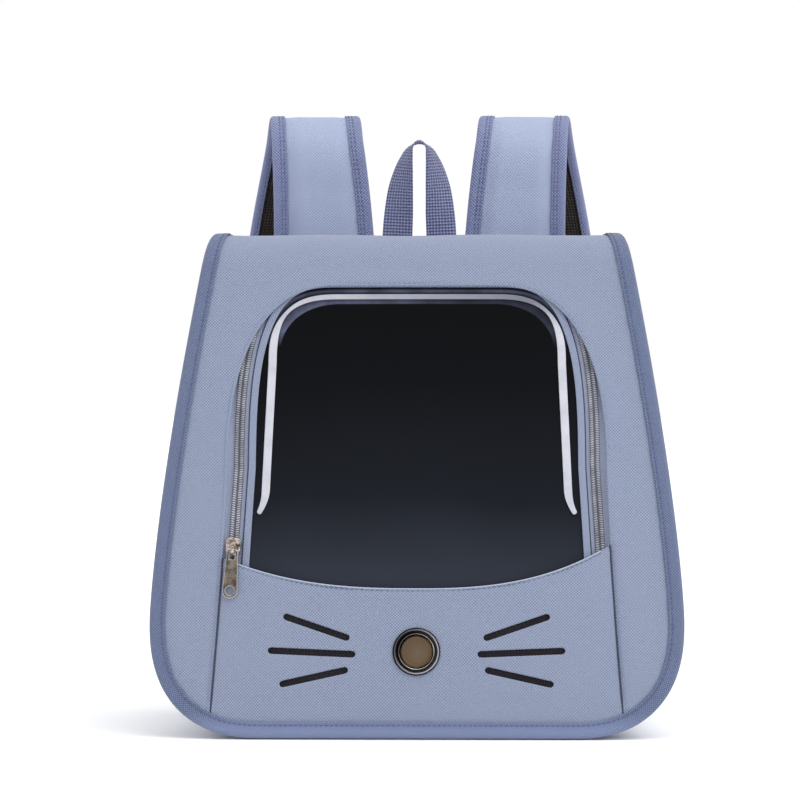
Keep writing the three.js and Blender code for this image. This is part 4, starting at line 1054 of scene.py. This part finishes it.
def back_cloth():
    edge = BACK + EDGE_INSET * BACK_IN
    edge[[0, -1], 1] = HEIGHT - SEAM_GAP
    top = pairs(spread(edge[-1, 0], edge[0, 0], PATH_SPACING)[1:-1], HEIGHT - SEAM_GAP)

    def relief(flat):
        gap, down = segment_gap(flat, BACK), PAD_TOP - flat[:, 1]
        past_seam = gap - BINDING_WIDTH - PAD_SEAM
        swell = ease((past_seam - PAD_SETBACK) / PAD_EASE) * ease((down - PAD_SETBACK) / PAD_EASE)
        seam = bell(past_seam / PAD_SEAM_WIDTH) * ease(down / PAD_SEAM_EASE)
        loose = calm_edge(gap) * ease(down / PAD_LOOSE_EASE)
        return PADDING * swell - PAD_SEAM_DEPTH * seam + loose * slack("back", *flat.T)

    cloth_panel("back_cloth", join([edge, top]), back_place, CLOTH, FRAME_SPACING, relief,
                "cloth", "cloth", "back_panel")
    seam = top[TOP_TRIM:-TOP_TRIM] - [0, HEM_STITCH]
    stitches("back_stitches", [line_on(back_place, seam, ON_CLOTH)], "thread", "cloth", seed=16)


# Zip and window
COIL_PITCH, COIL_OUT, COIL_DEPTH, COIL_SLANT = 1.8, 2.1, -3.5, 0.25
COIL_SIZE = np.array([3.1, 1.15, 1.5])
CORD_HALF, CORD_FRONT = 3.8, COIL_DEPTH - 0.1
SEAM_FROM, SEAM_TO, SEAM_FRONT = 6.7, 7.8, -3.3
STRIP_SPACING, TIP_LENGTH, TIP_START, TIP_LEAST = 0.7, 1.4, 0.1, 0.02


def zip_parts():
    across = spread(TAPE_OUT, -TAPE_IN, 1.0)
    steps = [-TAPE_IN, TAPE_STEP_TO, TAPE_STEP_FROM, TAPE_OUT]
    face = pairs(across, np.interp(across, steps, [TAPE_FRONT, TAPE_FRONT, HEM_FRONT, HEM_FRONT]))
    section = join([face, face[::-1] - [0, TAPE_CLOTH]])
    tape("zip_tape_cloth", ZIP, section, "zip_tape", "zip_tape", "zip_tape", sharp=True)
    path = resample(ZIP, COIL_PITCH)
    places, axes = [], []
    for side, shift in ((1, 0), (-1, 0.5)):
        row = path + path_normals(path) * side * COIL_OUT + np.gradient(path, axis=0) * shift
        spot, out = line_on(panel_place, row, COIL_DEPTH)
        along = unit(np.gradient(spot, axis=0))
        length = unit(unit(np.cross(out, along)) * side + along * COIL_SLANT)
        places.append(spot)
        axes.append(np.stack([length, unit(np.cross(out, length)), out], axis=1))
    new_piece("zip_coil", beads(COIL_SIZE, places, axes), "zip_chain", "zip_chain", "zip_chain")
    # The cord under the coil is dark so that the gaps between the teeth look dark: painted shade.
    tape("zip_cord", ZIP, tape_section(-CORD_HALF, CORD_HALF, CORD_FRONT, ON_TAPE), "zip_cord", "zip_chain")


def window():
    section = tape_section(-BORDER_TO, -BORDER_FROM, BORDER_FRONT, ON_TAPE)
    tape("window_border_cloth", ZIP, section, "cloth", "cloth", "window_border")
    tape("window_seam", ZIP, tape_section(-SEAM_TO, -SEAM_FROM, SEAM_FRONT, ON_TAPE), "seam", "cloth")
    edge = ZIP - FILM_FROM * path_normals(ZIP)
    edge[[0, -1], 1] = FILM_BOTTOM
    cloth_panel("window_pane", edge, panel_place, TAPE_CLOTH, FILM_SPACING,
                lambda flat: slack("film", *flat.T), "film", "film", "window_film",
                front=TAPE_FRONT, roll=FILM_ROLL)


# A whitish strip along the film's edge, put there as the highlight on the film's rolled edge: a painted
# highlight.
def window_strip():
    foot = spread(STRIP_BOTTOM, STRIP_BOTTOM + STRIP_END, ARCH_SPACING)[:-1]
    flare = STRIP_ARCH.reach(foot) + STRIP_FLARE * (1 - (foot - STRIP_BOTTOM) / STRIP_END) ** 2
    line = join([pairs(-flare, foot), STRIP, pairs(flare, foot)[::-1]])
    line = resample(line, STRIP_SPACING)
    normals = path_normals(line)
    width = STRIP_ACROSS + (STRIP_SIDE - STRIP_ACROSS) * normals[:, 0] ** 2
    width += (STRIP_CORNER - width) * (2 * normals[:, 0] * normals[:, 1]) ** 2
    count = np.arange(len(line))
    tip = (np.minimum(count, count[::-1]) * STRIP_SPACING + TIP_START) / TIP_LENGTH
    width *= np.sqrt(np.clip(1 - (1 - np.clip(tip, 0, 1)) ** 2, TIP_LEAST, 1))
    section = tape_section(-0.5, 0.5, STRIP_CLOTH / STRIP_SIDE, 0)
    across = width[:, None] * section[:, 0]
    x, s = (line[:, None, k] + normals[:, None, k] * across for k in (0, 1))
    rings = panel_place(x, s, ON_TAPE + STRIP_SIDE * section[:, 1])
    new_piece("window_strip", loft(rings), "strip", "strip", "window_edge_strip")


# Metal and plastic: the eyelet's profiles are rows of radius and height
EYELET_RING = [
    (12.9, -3.4), (16.5, -3.4), (16.5, -2.4), (13.7, -2.4), (13.7, 0.3), (18.2, 0.3), (18.2, 1.4),
    (17.2, 2.1), (16.2, 1.9), (15.4, 1.3), (14.9, 1.6), (14.3, 2.5), (13.5, 2.5), (12.9, 1.7),
]
EYELET_PLATE = [(0, -1), (12.4, -1), (12.4, 0.3), (11.8, 0.9), (10.6, 0.85), (9.8, 0.5), (6, 0.8), (0, 1.0)]
ROUND_STEPS, CORNER_CUTS, CORNER_CUT = 96, 2, 0.2
LIT_TURN = math.radians(-35)
LEVEL_ANGLE, BEVEL_ANGLE, BEVEL_STEPS = math.radians(1), math.radians(25), 3


def turned(name, profile, closed, look, node):
    """Metal turned on the eyelet's axis, from a profile whose corners are cut to round its edges."""
    points = np.asarray(profile, float)
    for _ in range(CORNER_CUTS):
        start, end = (points, np.roll(points, -1, axis=0)) if closed else (points[:-1], points[1:])
        step = CORNER_CUT * (end - start)
        cut = np.stack([start + step, end - step], 1).reshape(-1, 2)
        points = cut if closed else join([points[:1], cut, points[-1:]])
    turn = full_turn(ROUND_STEPS)[:, None]
    radius, out = points.T
    rings = panel_place(radius * np.cos(turn), EYELET_S + radius * np.sin(turn), out)
    places, faces, _ = loft(rings, wrap=True)
    # The plan's v is 1 mm on the side that the ringed look paints lighter, as if lit there.
    plan = pairs(np.tile(radius, ROUND_STEPS), np.repeat(np.cos(turn - LIT_TURN), len(points)))
    new_piece(name, (places, faces, plan[np.ravel(faces)]), look, look, node)


def bevelled(name, node, look, slot, width, body="bag"):
    """The node's own shape with its edges rounded."""
    work = bmesh.new()
    work.from_mesh(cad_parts[node].data)
    bmesh.ops.remove_doubles(work, verts=work.verts, dist=MERGED)
    bmesh.ops.dissolve_limit(work, angle_limit=LEVEL_ANGLE, verts=work.verts, edges=work.edges)
    sharp = [edge for edge in work.edges if edge.calc_face_angle(0) > BEVEL_ANGLE]
    edge = work.faces.layers.int.new("edge")
    made = bmesh.ops.bevel(work, geom=sharp, offset=width * MM, segments=BEVEL_STEPS, profile=0.5,
                           affect="EDGES", clamp_overlap=True)
    # Bevel faces are marked so that the plated look paints highlights on them.
    for face in made["faces"]:
        face[edge] = 1
    bmesh.ops.triangulate(work, faces=[face for face in work.faces if len(face.verts) > 4])
    work.verts.ensure_lookup_table()
    points = np.array([v.co[:] for v in work.verts]) / MM
    faces = [[v.index for v in face.verts] for face in work.faces]
    plan = join([np.full((len(face.verts), 2), face[edge]) for face in work.faces])
    work.free()
    new_piece(name, (points, faces, plan), look, slot, node, body=body, sharp=True)


# Straps and handle
STRAP_SPACING, STRAP_STEPS, ROUTE_STEPS = 4.0, 40, 30
PAD_COLUMNS, LINING_COLUMNS, END_COLUMNS, WEBBING_COLUMNS, HANDLE_COLUMNS = 32, 24, 24, 12, 16
WEBBING_SPACING, HANDLE_SPACING = 1.6, 2.0
STRAP_STITCHES, STRAP_UNDER_STITCH, STITCH_LIFT = (10.2, 7.4), 5.4, 0.1
STRAP_HIGH = STRAP_EDGE + BINDING_HIGH
STRAP_LOW = -STRAP_EDGE - STRAP_MESH_GAP - STRAP_MESH - BINDING_HIGH
FOLD_CALM, FOLD_REACH, END_CALM, END_TRIM = 0.85, 26.0, 26.0, 1.5
END_TAPE, END_TAPE_BACK, END_OVER, END_STITCHES = 15.0, 11.0, 0.8, (12.5, 8.0)
BOX_HALF, ANCHOR_BOX, ANCHOR_SLOPE = 9.5, (ANCHOR_Z + 2, ANCHOR_Z + 16), 0.0375
HANDLE_BOX = (355.0, 378.0)


def strap_pad(name, half, run, fold, carry):
    across = (half - STRAP_INSET)[:, None] * np.linspace(-1, 1, PAD_COLUMNS + 1)
    rise = ease((half[:, None] - np.abs(across) - CROWN_FROM) / CROWN_OVER)
    rise = rise * (1 - FOLD_CALM * bell((run - run[fold]) / FOLD_REACH))
    rise = rise * ease((run[-1] - run - END_TAPE) / END_CALM)
    top = STRAP_EDGE + (STRAP_CROWN - STRAP_EDGE + slack("pad", across, run)) * rise
    section = pairs(np.hstack([across, across[:, ::-1]]), np.hstack([top, 0 * top - STRAP_EDGE]))
    piece = new_piece(f"strap_pad_cloth_{name}", loft(carry(section)), "pad", "cloth", f"strap_pad_{name}")


def strap_edges(name, side, half, run, out, carry):
    section = fold_section(BINDING_WIDTH, BINDING_BACK_WIDTH, STRAP_HIGH, STRAP_LOW, STRAP_STITCHES)
    inward, depth = section.T
    loose = slack("strap_tape", run, inward) * ease(inward / TAPE_CALM)
    sewn = [(row, STRAP_HIGH, out) for row in STRAP_STITCHES]
    sewn.append((STRAP_UNDER_STITCH, STRAP_LOW - STITCH_LIFT, -out))
    lines = []
    for edge, label in ((-side, "inner"), (side, "outer")):
        across = edge * (half[:, None] - inward - 0.5 * loose)
        shape = loft(carry(pairs(across, depth + loose * np.sign(depth))))
        node = f"strap_binding_{label}_{name}"
        new_piece(f"strap_tape_{label}_{name}", shape, "strap_binding", "binding", node)
        for row, level, facing in sewn:
            lines.append((carry(pairs(edge * (half - row), level)[:, None])[:, 0], facing))
    stitches(f"strap_stitches_{name}", lines, "strap_thread", "binding", seed=54)


def strap_end(name, place, out, along, half):
    """Tape folded over the strap's lower end, sewn twice across."""
    high = STRAP_HIGH + BINDING_HIGH
    section = fold_section(END_TAPE, END_TAPE_BACK, high, STRAP_LOW - BINDING_HIGH, END_STITCHES)
    across = np.linspace(-half - END_OVER, half + END_OVER, END_COLUMNS + 1)[:, None]
    line = place + along * SEAM_GAP / 4 + RIGHTWARD * across
    rings = line[:, None] - along * section[:, :1] + out * section[:, 1:]
    new_piece(f"strap_end_{name}", loft(rings), "strap_binding", "binding")
    facing = np.tile(out, (len(line) - 2, 1))
    lines = [(line[1:-1] - along * row + out * high, facing) for row in END_STITCHES]
    stitches(f"strap_end_stitches_{name}", lines, "strap_thread", "binding", seed=57)


def strap_lining(name, half, carry):
    front = -STRAP_EDGE - STRAP_MESH_GAP
    across, depth = tape_section(-1, 1, front, front - STRAP_MESH, LINING_COLUMNS).T
    shape = loft(carry(pairs(across * (half - STRAP_INSET)[:, None], depth)))
    new_piece(f"strap_lining_{name}", shape, "mesh", "mesh", f"strap_mesh_{name}")


def box_stitches(x, low, high, slope=0.0):
    """A sewn box with a cross in it, on webbing that lies on the back or rises from the anchor."""
    left, right = -BOX_HALF, BOX_HALF
    corners = [(left, low), (right, low), (right, high), (left, high), (left, low), (right, high)]
    lines = []
    for row in (corners, [(left, high), (right, low)]):
        path = resample(np.array(row, float), 1.0)
        depth = SEAM_GAP + WEBBING_THICK + STITCH_LIFT + slope * (path[:, 1] - ANCHOR_Z)
        facing = np.tile([0.0, 1.0, 0.0], (len(path), 1))
        lines.append((back_place(x + path[:, 0], path[:, 1], depth), facing))
    return lines


def strap_webbing(name, side, place, along):
    """Webbing from the lower corner of the back, up and over the adjuster's middle bar."""
    x = side * ANCHOR_X
    middle = place + along * (ADJUSTER_HIGH + SEAM_GAP)
    face = np.cross(along, RIGHTWARD)
    route = [(x, WEBBING_Y, ANCHOR_Z), (x, WEBBING_Y + ANCHOR_LIFT, ANCHOR_Z + ANCHOR_SEWN)]
    route += [middle - along * rise + face * lift for rise, lift in WEBBING_WEAVE]
    line = resample(smooth_route(route, ROUTE_STEPS), WEBBING_SPACING)
    section = flat_section(WEBBING_HALF, WEBBING_THICK, WEBBING_COLUMNS)
    shape = flat_ribbon(line, RIGHTWARD, section, face=-1)
    new_piece(f"strap_webbing_tape_{name}", shape, "webbing", "webbing", f"strap_webbing_{name}")
    sewn = box_stitches(x, *ANCHOR_BOX, ANCHOR_SLOPE)
    stitches(f"anchor_stitches_{name}", sewn, "binding_thread", "webbing", seed=55)


def strap(name, side):
    route = [(side * x, y, z, half) for x, y, z, half in STRAP_ROUTE]
    line = resample(smooth_route(route, STRAP_STEPS), STRAP_SPACING)
    places, half = line[:, :3], line[:, 3]
    along = unit(np.gradient(places, axis=0) * [0, 1, 1])
    out = np.cross(RIGHTWARD, along)
    strap_webbing(name, side, places[-1], along[-1])
    strap_end(name, places[-1], out[-1], along[-1], half[-1])
    places[-1] -= along[-1] * END_TRIM
    run = (np.arange(len(half)) * STRAP_SPACING)[:, None]
    width = np.tile(RIGHTWARD, (len(half), 1))

    def carry(section):
        return ribbon(places, width, out, section)

    strap_pad(name, half, run, np.argmax(places[:, 2]), carry)
    strap_edges(name, side, half, run, out, carry)
    strap_lining(name, half, carry)
    bevelled(f"strap_slider_{name}", f"strap_adjuster_{name}", "plastic", "plastic", width=0.7)


def handle():
    right = [(x, WEBBING_Y, z, twist) for x, z, twist in HANDLE_ROUTE]
    left = [(-x, y, z, 180 - twist) for x, y, z, twist in right[-2::-1]]
    line = resample(smooth_route(right + left, ROUTE_STEPS), HANDLE_SPACING)
    twist = np.radians(line[:, 3])
    across = np.stack([np.cos(twist), np.sin(twist), 0 * twist], -1)
    section = flat_section(WEBBING_HALF, WEBBING_THICK, HANDLE_COLUMNS)
    shape = flat_ribbon(line[:, :3], across, section)
    new_piece("handle_webbing", shape, "webbing", "webbing", "grab_handle")
    sewn = [row for _, side in SIDES for row in box_stitches(side * HANDLE_X, *HANDLE_BOX)]
    stitches("handle_stitches", sewn, "binding_thread", "webbing", seed=56)


# Stage: lamps are rows of name, place and power
FLOOR_HALF = 40.0
WHITE, FLOOR_COLOUR = (1.0, 1.0, 1.0, 1.0), (0.95, 0.95, 0.955, 1.0)
LAMPS = [("key", (1.9, -1.5, 1.9), 15), ("rim", (-1.8, 1.6, 1.8), 6)]
LAMP_SIZE, LAMP_TARGET = 1.4, (0, 0, 0.22)
SUN_PLACE, SUN_POWER, SUN_ANGLE = (0.9, -0.7, 3.0), 1.2, math.radians(50)


def studio_floor():
    low, high = -FLOOR_HALF, FLOOR_HALF
    corners = [(x, y, CAD_BOX[0][2]) for x, y in ((low, low), (high, low), (high, high), (low, high))]
    mesh = bpy.data.meshes.new("studio_floor")
    mesh.from_pydata(corners, [], [(0, 1, 2, 3)])
    look = Look("studio", Base_Color=FLOOR_COLOUR, Roughness=0.9, Specular_IOR_Level=0.1)
    mesh.materials.append(look.material)
    floor = add_object("studio_floor", mesh)


def aimed(name, data, place, target):
    item = add_object(name, data)
    item.location = place
    item.rotation_euler = (Vector(target) - Vector(place)).to_track_quat("-Z", "Y").to_euler()
    return item


def studio():
    camera = bpy.data.cameras.new("photo_camera")
    camera.sensor_width = SENSOR
    camera.lens = SENSOR * VIEW_DISTANCE / VIEW_WIDTH
    place = Vector(CAMERA) * MM
    ahead = Vector((math.sin(CAMERA_TURN), math.cos(CAMERA_TURN), 0.0))
    bpy.context.scene.camera = aimed("photo_camera", camera, place, place + ahead)
    for name, place, power in LAMPS:
        lamp = bpy.data.lights.new(name, "AREA")
        lamp.size = LAMP_SIZE
        lamp.energy = power
        aimed(name, lamp, place, LAMP_TARGET)
    sun = bpy.data.lights.new("overhead", "SUN")
    sun.energy, sun.angle = SUN_POWER, SUN_ANGLE
    aimed("overhead", sun, SUN_PLACE, (0, 0, 0))
    world = bpy.data.worlds.new("studio_light")
    world.use_nodes = True
    world.node_tree.nodes["Background"].inputs["Color"].default_value = WHITE
    world.node_tree.nodes["Background"].inputs["Strength"].default_value = 1.0
    bpy.context.scene.world = world
    bpy.context.scene.view_settings.view_transform = "Standard"


studio_floor()
studio()
frame_cloth()
lower_cloth()
leg_seams()
whisker_nets()
edge_binding("front_binding", OUTLINE, OUTLINE_IN, panel_place, seed=14)
body_cloth()
back_cloth()
edge_binding("back_binding", BACK, BACK_IN, back_place, seed=15)
corner_tabs()
zip_parts()
window()
window_strip()
turned("eyelet_ring", EYELET_RING, True, "gunmetal", "nose_eyelet_ring")
turned("eyelet_plate", EYELET_PLATE, False, "bronze", "nose_eyelet_plate")
bevelled("slider_body", "zip_slider", "slider", "nickel", width=0.6)
bevelled("pull_tag", "zip_pull", "nickel", "nickel", width=0.5, body="pull")
for name, side in SIDES:
    strap(name, side)
handle()
